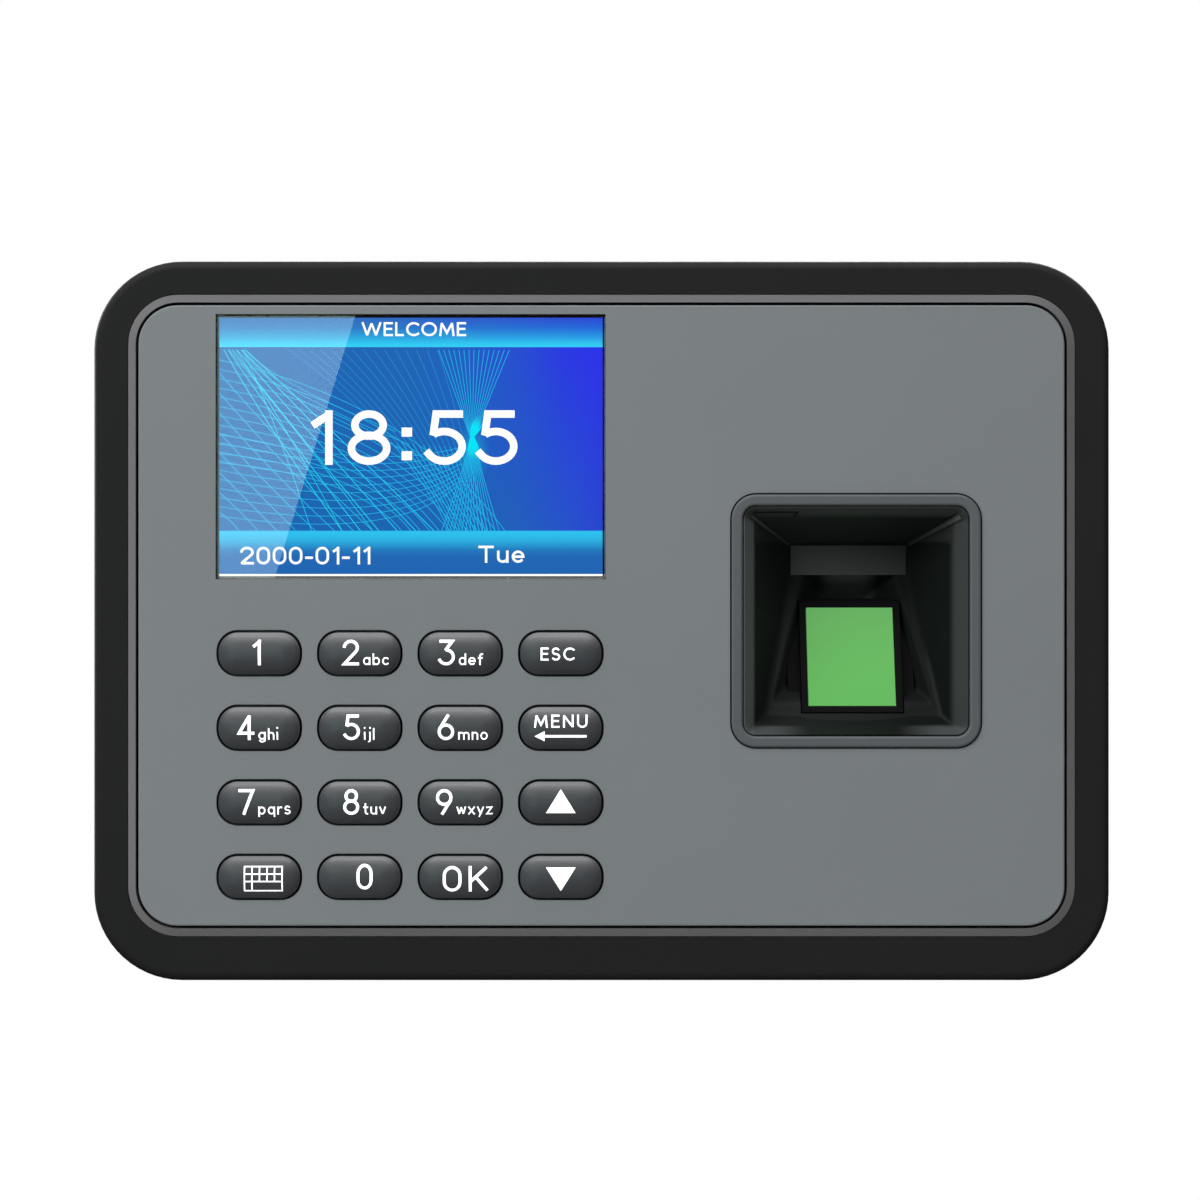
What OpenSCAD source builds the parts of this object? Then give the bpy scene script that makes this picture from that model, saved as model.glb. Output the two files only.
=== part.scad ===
// Wall-mounted fingerprint attendance terminal, built as separate pieces.
// Frame: the origin is the centre of the wall bracket's back face, +X is to the right
// as seen from the front, +Y runs into the wall and +Z is up.
// Every piece is drawn in a front view: x right, y up, and z is the level, which is
// the distance out from the wall. front_view() turns that drawing into the frame.

/* [Body] */
// Width of the terminal
body_w = 190; // [186:1:200]
// Height of the terminal
body_h = 134.6; // [132:0.2:140]
// Distance from the wall to the grey face
body_d = 34; // [34:0.5:40]
// Radius of the outline's corners
corner_r = 16.5; // [14:0.5:18]
// Thickness of the housing's side walls
wall = 2.4; // [2:0.1:2.6]
// Level of the joint between the front shell and the rear cover
split_level = 11.5; // [11:0.1:11.8]
// How far the grey face stands proud of the black band
face_step = 0.8; // [0.4:0.1:1]
// Rounding of the front shell's outer edge
front_edge_r = 1.6; // [0.8:0.1:2]
// Rounding of the rear cover's outer edge
rear_edge_r = 2; // [1:0.1:2.2]

/* [Face] */
// Width of the grey face panel
panel_w = 172.8; // [172:0.1:174]
// Height of the grey face panel
panel_h = 115.8; // [115:0.1:117]
// Radius of the face panel's corners
panel_r = 7.3; // [6:0.1:8]
// Thickness of the face panel
panel_t = 2.5; // [2.4:0.1:2.6]
// Height of the face panel's centre above the body's centre
panel_y = 1; // [0.5:0.1:1.5]
// Width of the dark groove round the face panel
groove_w = 0.5; // [0.4:0.05:0.6]
// Width of the grey trim ring
trim_w = 1.5; // [1.2:0.1:1.6]

/* [Display] */
// Width of the display window
window_w = 72.5; // [71:0.1:73]
// Height of the display window
window_h = 49.2; // [48:0.1:49.6]
// Display centre, across
window_x = -35.6; // [-36:0.1:-35]
// Display centre, up
window_y = 32.5; // [32:0.1:33]
// Thickness of the display window
window_t = 1.2; // [1:0.1:1.3]

/* [Keypad] */
// Distance between key columns
key_pitch_x = 18.75; // [18.6:0.05:19]
// Distance between key rows
key_pitch_y = 13.9; // [13.7:0.1:14.2]
// Width of a key cap
key_w = 15.4; // [15:0.1:15.6]
// Height of a key cap
key_h = 8.1; // [7.8:0.1:8.4]
// Radius of a key cap's ends
key_r = 3.7; // [3:0.1:3.8]
// Black gap round each key cap
key_gap = 0.3; // [0.2:0.05:0.4]
// Height of the key caps above the face
key_proud = 1.4; // [1:0.1:1.6]
// Column centres' middle, across
keypad_x = -35.7; // [-36:0.1:-35]
// Row centres' middle, up
keypad_y = -26.9; // [-27.4:0.1:-26.6]

/* [Finger well] */
// Width of the well's frame
well_w = 46.5; // [46:0.1:47]
// Height of the well's frame
well_h = 47.2; // [46.6:0.1:47.6]
// Radius of the frame's corners
well_r = 4.6; // [4:0.1:5]
// Width of the frame
well_frame_t = 2.1; // [1.9:0.1:2.2]
// Well centre, across
well_x = 47.5; // [47:0.1:48]
// Level of the well's floor, its deepest point
well_floor_level = 17; // [16.8:0.1:17.6]
// Slope of the sensor window from upright
sensor_tilt = 20.5; // [18:0.5:22]
// Width of the sensor window
sensor_w = 16.5; // [16:0.1:17]
// Length of the sensor window along its slope
sensor_l = 19.8; // [19:0.1:20.2]
// Height of the sensor window's centre, below the well's centre
sensor_drop = 6.8; // [6.6:0.1:7]

/* [Back] */
// Width of the recess for the wall bracket
pocket_w = 158; // [154:1:160]
// Height of the recess for the wall bracket
pocket_h = 110; // [108:1:111]
// Level of the recess floor
pocket_level = 7.5; // [7.4:0.1:7.7]
// Width of the wall bracket
bracket_w = 100; // [96:1:104]
// Height of the wall bracket's plate
bracket_h = 76; // [72:1:78]
// Thickness of the bracket's sheet steel
bracket_t = 1.2; // [1:0.1:1.5]
// Distance across between the wall screw holes
wall_hole_dx = 76; // [72:1:80]
// Distance up between the wall screw holes
wall_hole_dy = 52; // [48:1:56]
// Radius of the wall screw holes
wall_hole_r = 2.25; // [2:0.05:2.5]

/* [Sockets] */
// Power socket centre, across
dc_x = -46; // [-48:0.5:-44]
// Radius of the power socket's mouth
dc_mouth_r = 3.15; // [3:0.05:3.3]
// Radius of the power socket's centre pin
dc_pin_r = 1.05; // [1:0.05:1.25]
// USB socket centre, across
usb_x = -20; // [-22:0.5:-18]

/* [Hidden] */
$fn = 64;
KEY_NAMES = [
    ["key_1", "key_2", "key_3", "key_esc"],
    ["key_4", "key_5", "key_6", "key_menu"],
    ["key_7", "key_8", "key_9", "key_up"],
    ["key_input", "key_0", "key_ok", "key_down"]
];

// Small clearance between pieces that sit in each other, and a cutter's overrun
fit_gap = 0.2;
over = 1;

// Levels of the front, from the wall out
face_level = body_d;
panel_back = face_level - panel_t;
bezel_level = face_level - face_step;
ledge_level = panel_back - 0.1;
front_plate_back = ledge_level - 1.5;
ledge_w = 4;

// Trim ring round the face panel
trim_outer_w = panel_w + 2 * (groove_w + trim_w);
trim_outer_h = panel_h + 2 * (groove_w + trim_w);
trim_r = panel_r + groove_w + trim_w;

// Display stack
window_level = face_level - 0.1;
window_border = 0.45;
lcd_w = 82.9;
lcd_h = 54.7;
lcd_x = window_x + 1.85;
lcd_top = panel_back - fit_gap;
lcd_t = 1.4;
backlight_t = 2.4;
backlight_w = 79.4;
flex_w = 16;
flex_t = 0.2;

// Boards, thickness and the level of each one's front face
board_t = 1.6;
keypad_board_level = panel_back - 4.9;
main_board_level = 21;
main_board_back = main_board_level - board_t;
main_board_x = -33;
main_board_y = 0.5;
main_board_w = 100;
main_board_h = 109;
tongue_w = 48;
tongue_h = 8;

// Screws that hold the boards: positions, then sizes
main_screws = [[-78.5, 50], [-78.5, -49], [12, 50], [12, -49]];
small_screw_r = 1;
small_head_r = 2.2;
small_head_t = 1.6;
boss_r = 2.6;
keypad_boss_r = 2.2;

// Keys: level of each part of a cap, and the silicone dome under it
key_top = face_level + key_proud;
key_dome_r = 1.3;
key_flange_t = 0.8;
key_flange_top = panel_back - 0.3;
key_flange_grow = 0.9;
key_stem_r = 1.8;
key_stem_end = key_flange_top - key_flange_t - 0.8;
mat_t = 0.8;
mat_level = keypad_board_level + 0.05;
dome_base_r = 4.2;
dome_top_r = 2.6;
dome_wall = 0.8;
dome_top = key_stem_end - 0.05;
keypad_w = 78;
keypad_h = 52;

// Finger well: half sizes of its mouth, and its side walls
well_in_w = well_w - 2 * well_frame_t;
well_in_h = well_h - 2 * well_frame_t;
well_in_r = well_r - well_frame_t;
well_proud = 0.6;
well_mouth_level = face_level + 0.1;
mouth_x = well_in_w / 2 - 0.5;
mouth_y = well_in_h / 2 - 0.5;
lip_level = face_level - 2.4;
lip_in = 1.6;
floor_x = 11.4;
back_wall_y = 14.5;
ramp_y = -18;
well_wall = 1.6;
flange_t = 1.7;
flange_size = 56;
flange_level = panel_back - fit_gap;
stake_at = 25.2;
stake_r = 1.4;
stake_head_r = 2.2;
scoop_r = 40;
scoop_depth = 0.9;
scoop_w = 22;

// Sensor window's centre: its level puts the floor's knee under the back wall
sensor_level = well_floor_level + 5.8;
sensor_border = 1.35;
sensor_box_w = 24;
sensor_box_l = 25;
sensor_box_t = 5.4;
sensor_board_t = 1.2;

// Back of the body
rim_level = 0.8;
back_wall = 2.2;
pocket_r = 8;
pocket_wall = 2;
cover_inner_level = pocket_level + pocket_wall;
lip_h = 1.6;
lip_t = 1.2;
seam = 0.3;
cover_boss_x = body_w / 2 - 10.9;
cover_boss_y = body_h / 2 - 11.2;
cover_boss_r = 4.4;
shell_boss_r = 3.6;
cover_screw_r = 1.45;
cover_head_r = 2.8;
cover_head_t = 2;
cover_seat_level = 7.3;
speaker_x = 64;
speaker_y = -38;
speaker_r = 12.5;
grille_w = 1.4;
grille_pitch = 3;

// Bracket hooks and the lock screw under them
hook_x = 20;
hook_y = 18;
hook_w = 8;
hook_rise = 4.8;
hook_reach = cover_inner_level + 2;
slot_w = 11;
slot_h = 6.6;
tab_w = 18;
tab_y = -pocket_h / 2 + 1;
bracket_flange = 4;
lock_level = 5;
lock_r = 1.2;
lock_head_r = 2.2;

// Sockets
socket_front = -body_h / 2 + 0.7;
dc_front = -body_h / 2 + wall + fit_gap;
socket_l = 14;
usb_w = 13.2;
usb_t = 5.9;
usb_skin = 0.4;
usb_level = main_board_back - fit_gap - usb_t / 2;
dc_w = 9;
dc_t = 8.4;
dc_level = main_board_level + fit_gap + dc_t / 2;
dc_depth = 10;
dc_l = dc_depth + 1;

// Centre of the key in a column and a row, both counted from 0 at the top left
function key_at(col, row) = [
    keypad_x + (col - 1.5) * key_pitch_x,
    keypad_y - (row - 1.5) * key_pitch_y
];

// Level of the sensor's sloping plane at a height in the well
function slope_level(y) = sensor_level - (y + sensor_drop) * tan(sensor_tilt);

// Height in the well at which the sloping plane reaches a level
function slope_y(level) = (sensor_level - level) / tan(sensor_tilt) - sensor_drop;

// Places where four keys meet, used for the keypad board's screws
keypad_screws = [for (col = [0.5, 2.5], row = [0.5, 2.5]) key_at(col, row)];

// Turns a front-view drawing into the frame
module front_view() {
    rotate([90, 0, 0]) children();
}

// A rectangle with round corners, centred
module round_rect(w, h, r) {
    square([w - 2 * r, h], center = true);
    square([w, h - 2 * r], center = true);
    for (sx = [-1, 1], sy = [-1, 1])
        translate([sx * (w / 2 - r), sy * (h / 2 - r)]) circle(r);
}

// A plate with round corners between two levels
module plate(w, h, r, from, to) {
    translate([0, 0, from]) linear_extrude(to - from) round_rect(w, h, r);
}

// A square-cornered block between two levels, centred at a point
module block(at, size, from, to) {
    translate([at[0] - size[0] / 2, at[1] - size[1] / 2, from])
        cube([size[0], size[1], to - from]);
}

// A round peg between two levels
module peg(at, r, from, to) {
    translate([at[0], at[1], from]) cylinder(h = to - from, r = r);
}

// Sweeps a profile round a rounded rectangle. The profile's x runs outwards from the
// corners' centres and its y is the level.
module loop(w, h, r) {
    for (k = [0:3]) {
        out = (k % 2 == 0 ? w : h) / 2 - r;
        run = (k % 2 == 0 ? h : w) - 2 * r;
        rotate(90 * k) translate([out, run / 2, 0]) {
            rotate([90, 0, 0]) linear_extrude(run) children();
            rotate_extrude(angle = 90) children();
        }
    }
}

// The side of a solid whose outer edge is rounded at its far level
module rounded_side(reach, depth, edge_r) {
    square([reach, depth - edge_r]);
    square([reach - edge_r, depth]);
    translate([reach - edge_r, depth - edge_r]) circle(edge_r);
}

// A rounded block, depth deep, with a rounded edge at its far level
module soft_block(w, h, r, depth, edge_r) {
    loop(w, h, r) rounded_side(r, depth, edge_r);
    block([0, 0], [w - 2 * r, h - 2 * r], 0, depth);
}

// A wire that runs along the axes through points, with rounded bends
module wire(points, r) {
    for (i = [1:len(points) - 1]) {
        step = points[i] - points[i - 1];
        turn = abs(step[0]) > 0 ? [0, 90 * sign(step[0]), 0] : [step[2] > 0 ? 0 : 180, 0, 0];
        translate(points[i - 1]) rotate(turn) cylinder(h = norm(step), r = r);
        if (i < len(points) - 1)
            translate(points[i]) sphere(r);
    }
}

// A ribbon: a path of [x, level] points given a thickness and a width up the page
module ribbon(path, t, at_y, w) {
    far = [for (i = [len(path) - 1:-1:0]) path[i] + [0, t]];
    translate([0, at_y + w / 2, 0]) rotate([90, 0, 0])
        linear_extrude(w) polygon(concat(path, far));
}

// Front shell: the black band, side walls and the ledge that carries the face
module front_shell() {
    foot = split_level + seam;
    color("#222222") front_view() difference() {
        union() {
            difference() {
                translate([0, 0, foot])
                    soft_block(body_w, body_h, corner_r, bezel_level - foot, front_edge_r);
                plate(body_w - 2 * wall, body_h - 2 * wall, corner_r - wall,
                    foot - over, front_plate_back);
            }
            for (sx = [-1, 1], sy = [-1, 1])
                peg([sx * cover_boss_x, sy * cover_boss_y], shell_boss_r,
                    foot, front_plate_back + over);
        }
        translate([0, panel_y, 0]) {
            plate(trim_outer_w + fit_gap, trim_outer_h + fit_gap, trim_r + fit_gap / 2,
                ledge_level, bezel_level + over);
            plate(panel_w - 2 * ledge_w, panel_h - 2 * ledge_w, panel_r - ledge_w,
                front_plate_back - over, ledge_level + over);
        }
        block([lcd_x, window_y - 2.2], [lcd_w + 1.6, lcd_h + 5.2],
            front_plate_back - over, ledge_level + over);
        for (sx = [-1, 1], sy = [-1, 1])
            peg([sx * cover_boss_x, sy * cover_boss_y], cover_screw_r + 0.05,
                foot - over, foot + 14);
        block([usb_x, socket_front], [usb_w + 0.6, 2 * over + wall * 2],
            usb_level - usb_t / 2 - 0.3, usb_level + usb_t / 2 + 0.3);
        translate([dc_x, dc_front, dc_level]) rotate([90, 0, 0])
            cylinder(h = wall + 2 * over, r = dc_mouth_r + 0.9);
    }
}

// Trim ring: a grey bevel that rises from the black band to the face
module trim_frame() {
    color("#62625f") front_view() translate([0, panel_y, 0])
        loop(trim_outer_w, trim_outer_h, trim_r)
            polygon([
                [trim_r - trim_w, ledge_level + 0.1],
                [trim_r, ledge_level + 0.1],
                [trim_r, bezel_level],
                [trim_r - trim_w, face_level - 0.1]
            ]);
}

// Face panel: the grey front with its openings, and the bosses behind it
module face_panel() {
    color("#767b7e") front_view() difference() {
        union() {
            translate([0, panel_y, panel_back])
                soft_block(panel_w, panel_h, panel_r, panel_t, 0.35);
            for (at = main_screws)
                peg(at, boss_r, main_board_level, panel_back + over);
            for (at = keypad_screws)
                peg(at, keypad_boss_r, keypad_board_level, panel_back + over);
            for (sx = [-1, 1], sy = [-1, 1]) {
                at = [well_x + sx * stake_at, sy * stake_at];
                peg(at, stake_r, flange_level - flange_t - 0.8, panel_back + over);
                peg(at, stake_head_r, flange_level - flange_t - 0.9, flange_level - flange_t - 0.1);
            }
        }
        block([window_x, window_y], [window_w + fit_gap, window_h + fit_gap],
            window_level - window_t - 0.1, face_level + over);
        block([window_x, window_y],
            [window_w - 2 * window_border, window_h - 2 * window_border],
            panel_back - over, face_level);
        for (col = [0:3], row = [0:3])
            translate(key_at(col, row))
                plate(key_w + 2 * key_gap, key_h + 2 * key_gap, key_r + key_gap,
                    panel_back - over, face_level + over);
        translate([well_x, 0, 0])
            plate(well_w + 0.5, well_h + 0.5, well_r + 0.25,
                panel_back - over, face_level + over);
        for (at = main_screws)
            peg(at, small_screw_r + 0.05, main_board_level - over, main_board_level + 8);
        for (at = keypad_screws)
            peg(at, small_screw_r + 0.05, keypad_board_level - over, panel_back);
    }
}

// Display window: the clear cover that closes the display opening
module display_window() {
    color("#1a1c22") front_view() translate([window_x, window_y, 0])
        plate(window_w, window_h, 0.5, window_level - window_t, window_level);
}

// LCD cell
module lcd_glass() {
    color("#1d56b8") front_view()
        block([lcd_x, window_y], [lcd_w, lcd_h], lcd_top - lcd_t, lcd_top);
}

// Backlight unit behind the cell, shorter where the driver edge stands clear
module lcd_backlight() {
    back = lcd_top - lcd_t;
    color("#dfe3e6") front_view()
        block([lcd_x - (lcd_w - backlight_w) / 2, window_y], [backlight_w, lcd_h],
            back - backlight_t, back - 0.1);
}

// Flexible circuit from the cell's driver edge, folded round to the main board
module lcd_flex() {
    right = lcd_x + lcd_w / 2;
    top = lcd_top - lcd_t - 0.02;
    low = main_board_level + 0.15;
    r = (top - low) / 2;
    color("#c07a2b") front_view()
        translate([right + 0.4, window_y - 4 + flex_w / 2, 0]) rotate([90, 0, 0])
            linear_extrude(flex_w) {
                difference() {
                    translate([0, (top + low) / 2]) circle(r);
                    translate([0, (top + low) / 2]) circle(r - flex_t);
                    translate([-2 * r, low - over]) square([2 * r, 2 * r + 2 * over]);
                }
                translate([-3.2, top - flex_t]) square([3.2, flex_t]);
                translate([-10.7, low]) square([10.7, flex_t]);
            }
}

// Silicone keypad mat: a thin web with one hollow dome under each key
module keypad_mat() {
    color("#c9ccce") front_view() difference() {
        union() {
            translate([keypad_x, keypad_y, 0])
                plate(keypad_w, keypad_h, 3, mat_level, mat_level + mat_t);
            for (col = [0:3], row = [0:3])
                translate([each key_at(col, row), mat_level])
                    cylinder(h = dome_top - mat_level, r1 = dome_base_r, r2 = dome_top_r);
        }
        for (col = [0:3], row = [0:3])
            translate([each key_at(col, row), mat_level - 0.01])
                cylinder(h = dome_top - mat_level - dome_wall,
                    r1 = dome_base_r - dome_wall, r2 = dome_top_r - dome_wall);
        for (at = keypad_screws)
            peg(at, keypad_boss_r + 0.3, mat_level - over, dome_top);
    }
}

// Keypad circuit board
module keypad_board() {
    color("#1f5c35") front_view() difference() {
        translate([keypad_x, keypad_y, 0])
            plate(keypad_w, keypad_h, 1.5, keypad_board_level - board_t, keypad_board_level);
        for (at = keypad_screws)
            peg(at, small_screw_r + 0.3, 0, body_d);
    }
}

// Main circuit board: a tongue carries the two sockets, and two corners clear the shell's bosses
module main_board() {
    color("#1b5730") front_view() difference() {
        union() {
            translate([main_board_x, main_board_y, 0])
                plate(main_board_w, main_board_h, 2, main_board_back, main_board_level);
            block([main_board_x, main_board_y - (main_board_h + tongue_h) / 2 + over],
                [tongue_w, tongue_h + 2 * over], main_board_back, main_board_level);
        }
        for (at = main_screws)
            peg(at, small_screw_r + 0.3, 0, body_d);
        for (sy = [-1, 1])
            peg([-cover_boss_x, sy * cover_boss_y], shell_boss_r + 0.6, 0, body_d);
    }
}

// Chips and power parts on the back of the main board
module board_chips() {
    seat = main_board_back - 0.05;
    color("#1c1c1e") front_view() {
        block([-22, 2], [16, 16], seat - 1.4, seat);
        block([-22, 26], [14, 10], seat - 1.2, seat);
        block([-44, 8], [8, 12], seat - 1.2, seat);
        block([-44, -12], [10, 8], seat - 1.6, seat);
        block([-66, -8], [9, 9], seat - 3.8, seat);
        block([0, 20], [7, 9], seat - 1.4, seat);
        block([-4, 2], [9, 3.6], seat - 2.4, seat);
        for (x = [-70, -61])
            peg([x, -26], 3.2, seat - 8, seat);
    }
}

// Connectors: keypad header, display socket, sensor socket and speaker socket
module board_connectors() {
    front = main_board_level + 0.05;
    back = main_board_back - 0.05;
    color("#e9e4d4") front_view() {
        block([keypad_x + 9, -49], [22, 5], front, keypad_board_level - board_t - 0.05);
        block([-5, window_y - 4], [4.6, flex_w + 3], front, front + 1.4);
        block([10.5, -8], [6, 12], back - 1.8, back);
        block([10.5, -32], [5, 7], back - 3, back);
    }
}

// Holder for the clock's coin cell: a round cup with one side open
module coin_cell_holder() {
    at = [-58, 34];
    seat = main_board_back - 0.05;
    color("#16171a") front_view() difference() {
        peg(at, 11.6, seat - 3.8, seat);
        peg(at, 10.2, seat - 3.8 - over, seat - 0.6);
        block([at[0], at[1] + 10], [8, 6], seat - 3.8 - over, seat - 0.6);
    }
}

// Coin cell
module coin_cell() {
    seat = main_board_back - 0.7;
    color("#b9bcc0") front_view() peg([-58, 34], 10, seat - 3.2, seat);
}

// USB socket: a folded metal shell with its tongue, mouth down
module usb_socket() {
    color("#c4c7ca") front_view() translate([usb_x, socket_front + socket_l / 2, usb_level]) {
        difference() {
            cube([usb_w, socket_l, usb_t], center = true);
            translate([0, -usb_skin - 1, 0])
                cube([usb_w - 2 * usb_skin, socket_l, usb_t - 2 * usb_skin], center = true);
        }
        translate([0, 0.6, 0.9])
            cube([usb_w - 2.4, socket_l - 2.2, 1.8], center = true);
    }
}

// Power socket: a moulded block with a round mouth and a centre pin, mouth down
module dc_jack() {
    color("#17181a") front_view() translate([dc_x, dc_front, dc_level]) rotate([-90, 0, 0]) {
        difference() {
            translate([-dc_w / 2, -dc_t / 2, 0]) cube([dc_w, dc_t, dc_l]);
            translate([0, 0, -over]) cylinder(h = dc_depth + over, r = dc_mouth_r);
        }
        translate([0, 0, 0.5]) cylinder(h = dc_depth, r = dc_pin_r);
    }
}

// Well frame: the grey ring round the finger well, rounded on both front edges
module well_bezel() {
    outer = well_r;
    inner = well_in_r;
    foot = flange_level + 0.05;
    top = face_level + well_proud;
    edge_r = 0.5;
    color("#585c5f") front_view() translate([well_x, 0, 0])
        loop(well_w, well_h, well_r) {
            translate([inner, foot]) square([outer - inner, top - edge_r - foot]);
            translate([inner + edge_r, foot]) square([outer - inner - 2 * edge_r, top - foot]);
            for (x = [inner + edge_r, outer - edge_r])
                translate([x, top - edge_r]) circle(edge_r);
        }
}

// Side view of the space in the well, as [height, level] points
function well_side() = [
    [mouth_y, body_d + 4],
    [mouth_y, well_mouth_level],
    [mouth_y - lip_in, lip_level],
    [back_wall_y, well_floor_level],
    [slope_y(well_floor_level), well_floor_level],
    [ramp_y, slope_level(ramp_y)],
    [-mouth_y, well_mouth_level],
    [-mouth_y, body_d + 4]
];

// Top view of the space in the well, as [across, level] points
function well_top() = [
    [mouth_x, body_d + 4],
    [mouth_x, well_mouth_level],
    [mouth_x - lip_in, lip_level],
    [floor_x, well_floor_level],
    [floor_x, well_floor_level - 4],
    [-floor_x, well_floor_level - 4],
    [-floor_x, well_floor_level],
    [-mouth_x + lip_in, lip_level],
    [-mouth_x, well_mouth_level],
    [-mouth_x, body_d + 4]
];

// The well's space grown by a skin: where its side view and its top view meet
module well_space(skin) {
    intersection() {
        translate([-body_w / 2, 0, 0]) rotate([90, 0, 90])
            linear_extrude(body_w) offset(delta = skin) polygon(well_side());
        translate([0, body_h / 2, 0]) rotate([90, 0, 0])
            linear_extrude(body_h) offset(delta = skin) polygon(well_top());
    }
}

// Moves children onto the sensor's sloping plane, z pointing out of it
module on_slope() {
    translate([well_x, -sensor_drop, sensor_level]) rotate([-sensor_tilt, 0, 0]) children();
}

// Shallow groove in the ramp that guides the fingertip
module finger_scoop() {
    start = slope_level(ramp_y);
    slope = atan2(mouth_y + ramp_y - scoop_depth, well_mouth_level - start);
    intersection() {
        translate([0, ramp_y - scoop_depth, start]) rotate([slope, 0, 0])
            translate([0, scoop_r, -3]) cylinder(h = 16, r = scoop_r, $fn = 128);
        block([0, ramp_y], [scoop_w, 9], start + 0.4, body_d + 4);
    }
}

// Finger well: black cup with slanted walls, a neck in the frame and a flange
module sensor_well() {
    color("#121514") front_view() difference() {
        translate([well_x, 0, 0]) difference() {
            union() {
                plate(well_in_w - 0.3, well_in_h - 0.3, well_in_r - 0.15,
                    flange_level - flange_t, well_mouth_level);
                plate(flange_size, flange_size, 5, flange_level - flange_t, flange_level);
                intersection() {
                    well_space(well_wall);
                    block([0, 0], [flange_size, flange_size], 0, flange_level - 0.5);
                }
            }
            intersection() {
                well_space(0);
                plate(2 * mouth_x, 2 * mouth_y, well_in_r - 0.6, 0, body_d + 3);
            }
            finger_scoop();
            for (sx = [-1, 1], sy = [-1, 1])
                peg([sx * stake_at, sy * stake_at], stake_r + fit_gap, 0, body_d);
        }
        on_slope() block([0, 0],
            [sensor_w + 2 * sensor_border + 0.4, sensor_l + 2 * sensor_border + 0.4], -6, 6);
    }
}

// Glass block that the finger presses on
module sensor_prism() {
    color("#67b75e") front_view() on_slope()
        block([0, 0], [sensor_w, sensor_l], -3.9, -0.1);
}

// Sensor housing: the black surround in the well's floor and the box behind it
module sensor_body() {
    neck = [sensor_w + 2 * sensor_border, sensor_l + 2 * sensor_border];
    box_top = -well_wall - 0.3;
    color("#0c0d0d") front_view() on_slope() difference() {
        union() {
            block([0, 0], neck, box_top - over, 0);
            block([0, 0], [sensor_box_w, sensor_box_l], box_top - sensor_box_t, box_top);
        }
        block([0, 0], [sensor_w + 0.2, sensor_l + 0.2], -4, over);
        block([0, 0], [sensor_w - 4, sensor_l - 4], -6, over);
    }
}

// Sensor circuit board on the back of its housing
module sensor_board() {
    top = -well_wall - 0.3 - sensor_box_t - 0.1;
    color("#1b5730") front_view() on_slope()
        block([0, 0], [sensor_box_w, sensor_box_l], top - sensor_board_t, top);
}

// Flat cable from the sensor board to the main board
module sensor_cable() {
    color("#b9bcc0") front_view()
        ribbon([[8.5, 16.9], [16, 16.9], [31, 12], [40, 12]], 0.4, -8, 8);
}

// Loudspeaker: frame and magnet, facing the grille in the rear cover
module speaker() {
    at = [speaker_x, speaker_y];
    seat = cover_inner_level + 0.1;
    color("#2b2d30") front_view() {
        peg(at, speaker_r, seat, seat + 1.4);
        translate([each at, seat + 1.4]) cylinder(h = 3, r1 = speaker_r - 1, r2 = 8);
        peg(at, 7, seat + 4.2, seat + 6.4);
    }
}

// Two wires from the loudspeaker to the main board
module speaker_wires() {
    level = cover_inner_level + 3.2;
    color("#b0211f") front_view()
        for (y = [-33, -31])
            wire([[speaker_x - 9, y, level], [10.5, y, level], [10.5, y, 16.3]], 0.6);
}

// Rear cover: shallow tray with a recess for the bracket
module rear_cover() {
    inner_w = body_w - 2 * wall;
    inner_h = body_h - 2 * wall;
    inner_r = corner_r - wall;
    bosses = [for (sx = [-1, 1], sy = [-1, 1]) [sx * cover_boss_x, sy * cover_boss_y]];
    color("#232323") front_view() difference() {
        union() {
            difference() {
                translate([0, 0, split_level]) mirror([0, 0, 1])
                    soft_block(body_w, body_h, corner_r, split_level - rim_level, rear_edge_r);
                plate(inner_w, inner_h, inner_r, rim_level + back_wall, split_level + over);
            }
            plate(pocket_w + 2 * pocket_wall, pocket_h + 2 * pocket_wall,
                pocket_r + pocket_wall, rim_level + over, cover_inner_level);
            loop(inner_w - fit_gap, inner_h - fit_gap, inner_r - fit_gap / 2)
                translate([inner_r - fit_gap / 2 - lip_t, split_level - 3])
                    square([lip_t, 3 + lip_h]);
            loop(inner_w + over, inner_h + over, inner_r + over / 2)
                translate([inner_r - lip_t, split_level - 3]) square([lip_t + over / 2, 2.5]);
            for (at = bosses)
                peg(at, cover_boss_r, rim_level + over, split_level);
            block([0, -(pocket_h + body_h) / 4], [14, (body_h - pocket_h) / 2 - 1],
                rim_level + over, cover_inner_level);
            difference() {
                peg([speaker_x, speaker_y], speaker_r + 1.5, pocket_level + over,
                    cover_inner_level + 2);
                peg([speaker_x, speaker_y], speaker_r + 0.2, cover_inner_level, body_d);
            }
        }
        plate(pocket_w, pocket_h, pocket_r, 0, pocket_level);
        for (at = bosses) {
            peg(at, cover_screw_r + 0.25, 0, split_level + over);
            peg(at, cover_head_r + 0.3, 0, cover_seat_level);
        }
        for (sx = [-1, 1])
            block([sx * hook_x, hook_y + bracket_t + 0.2 - slot_h / 2], [slot_w, slot_h],
                0, body_d);
        translate([0, -body_h / 2 - over, lock_level]) rotate([-90, 0, 0]) {
            cylinder(h = 20, r = lock_r + 0.3);
            cylinder(h = over + 2.4, r = lock_head_r + 0.3);
        }
        for (i = [-3:3]) {
            half = sqrt(pow(speaker_r - 2, 2) - pow(grille_pitch * i, 2)) - grille_w / 2;
            mid_y = speaker_y + grille_pitch * i;
            block([speaker_x, mid_y], [2 * half, grille_w], 0, body_d);
            for (side = [-1, 1])
                peg([speaker_x + side * half, mid_y], grille_w / 2, 0, body_d);
        }
    }
}

// Blank label stuck to the floor of the recess
module rating_label() {
    color("#b8bbbe") front_view() translate([-65, 0, 0])
        plate(24, 46, 1.5, pocket_level - 0.2, pocket_level - 0.02);
}

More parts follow.
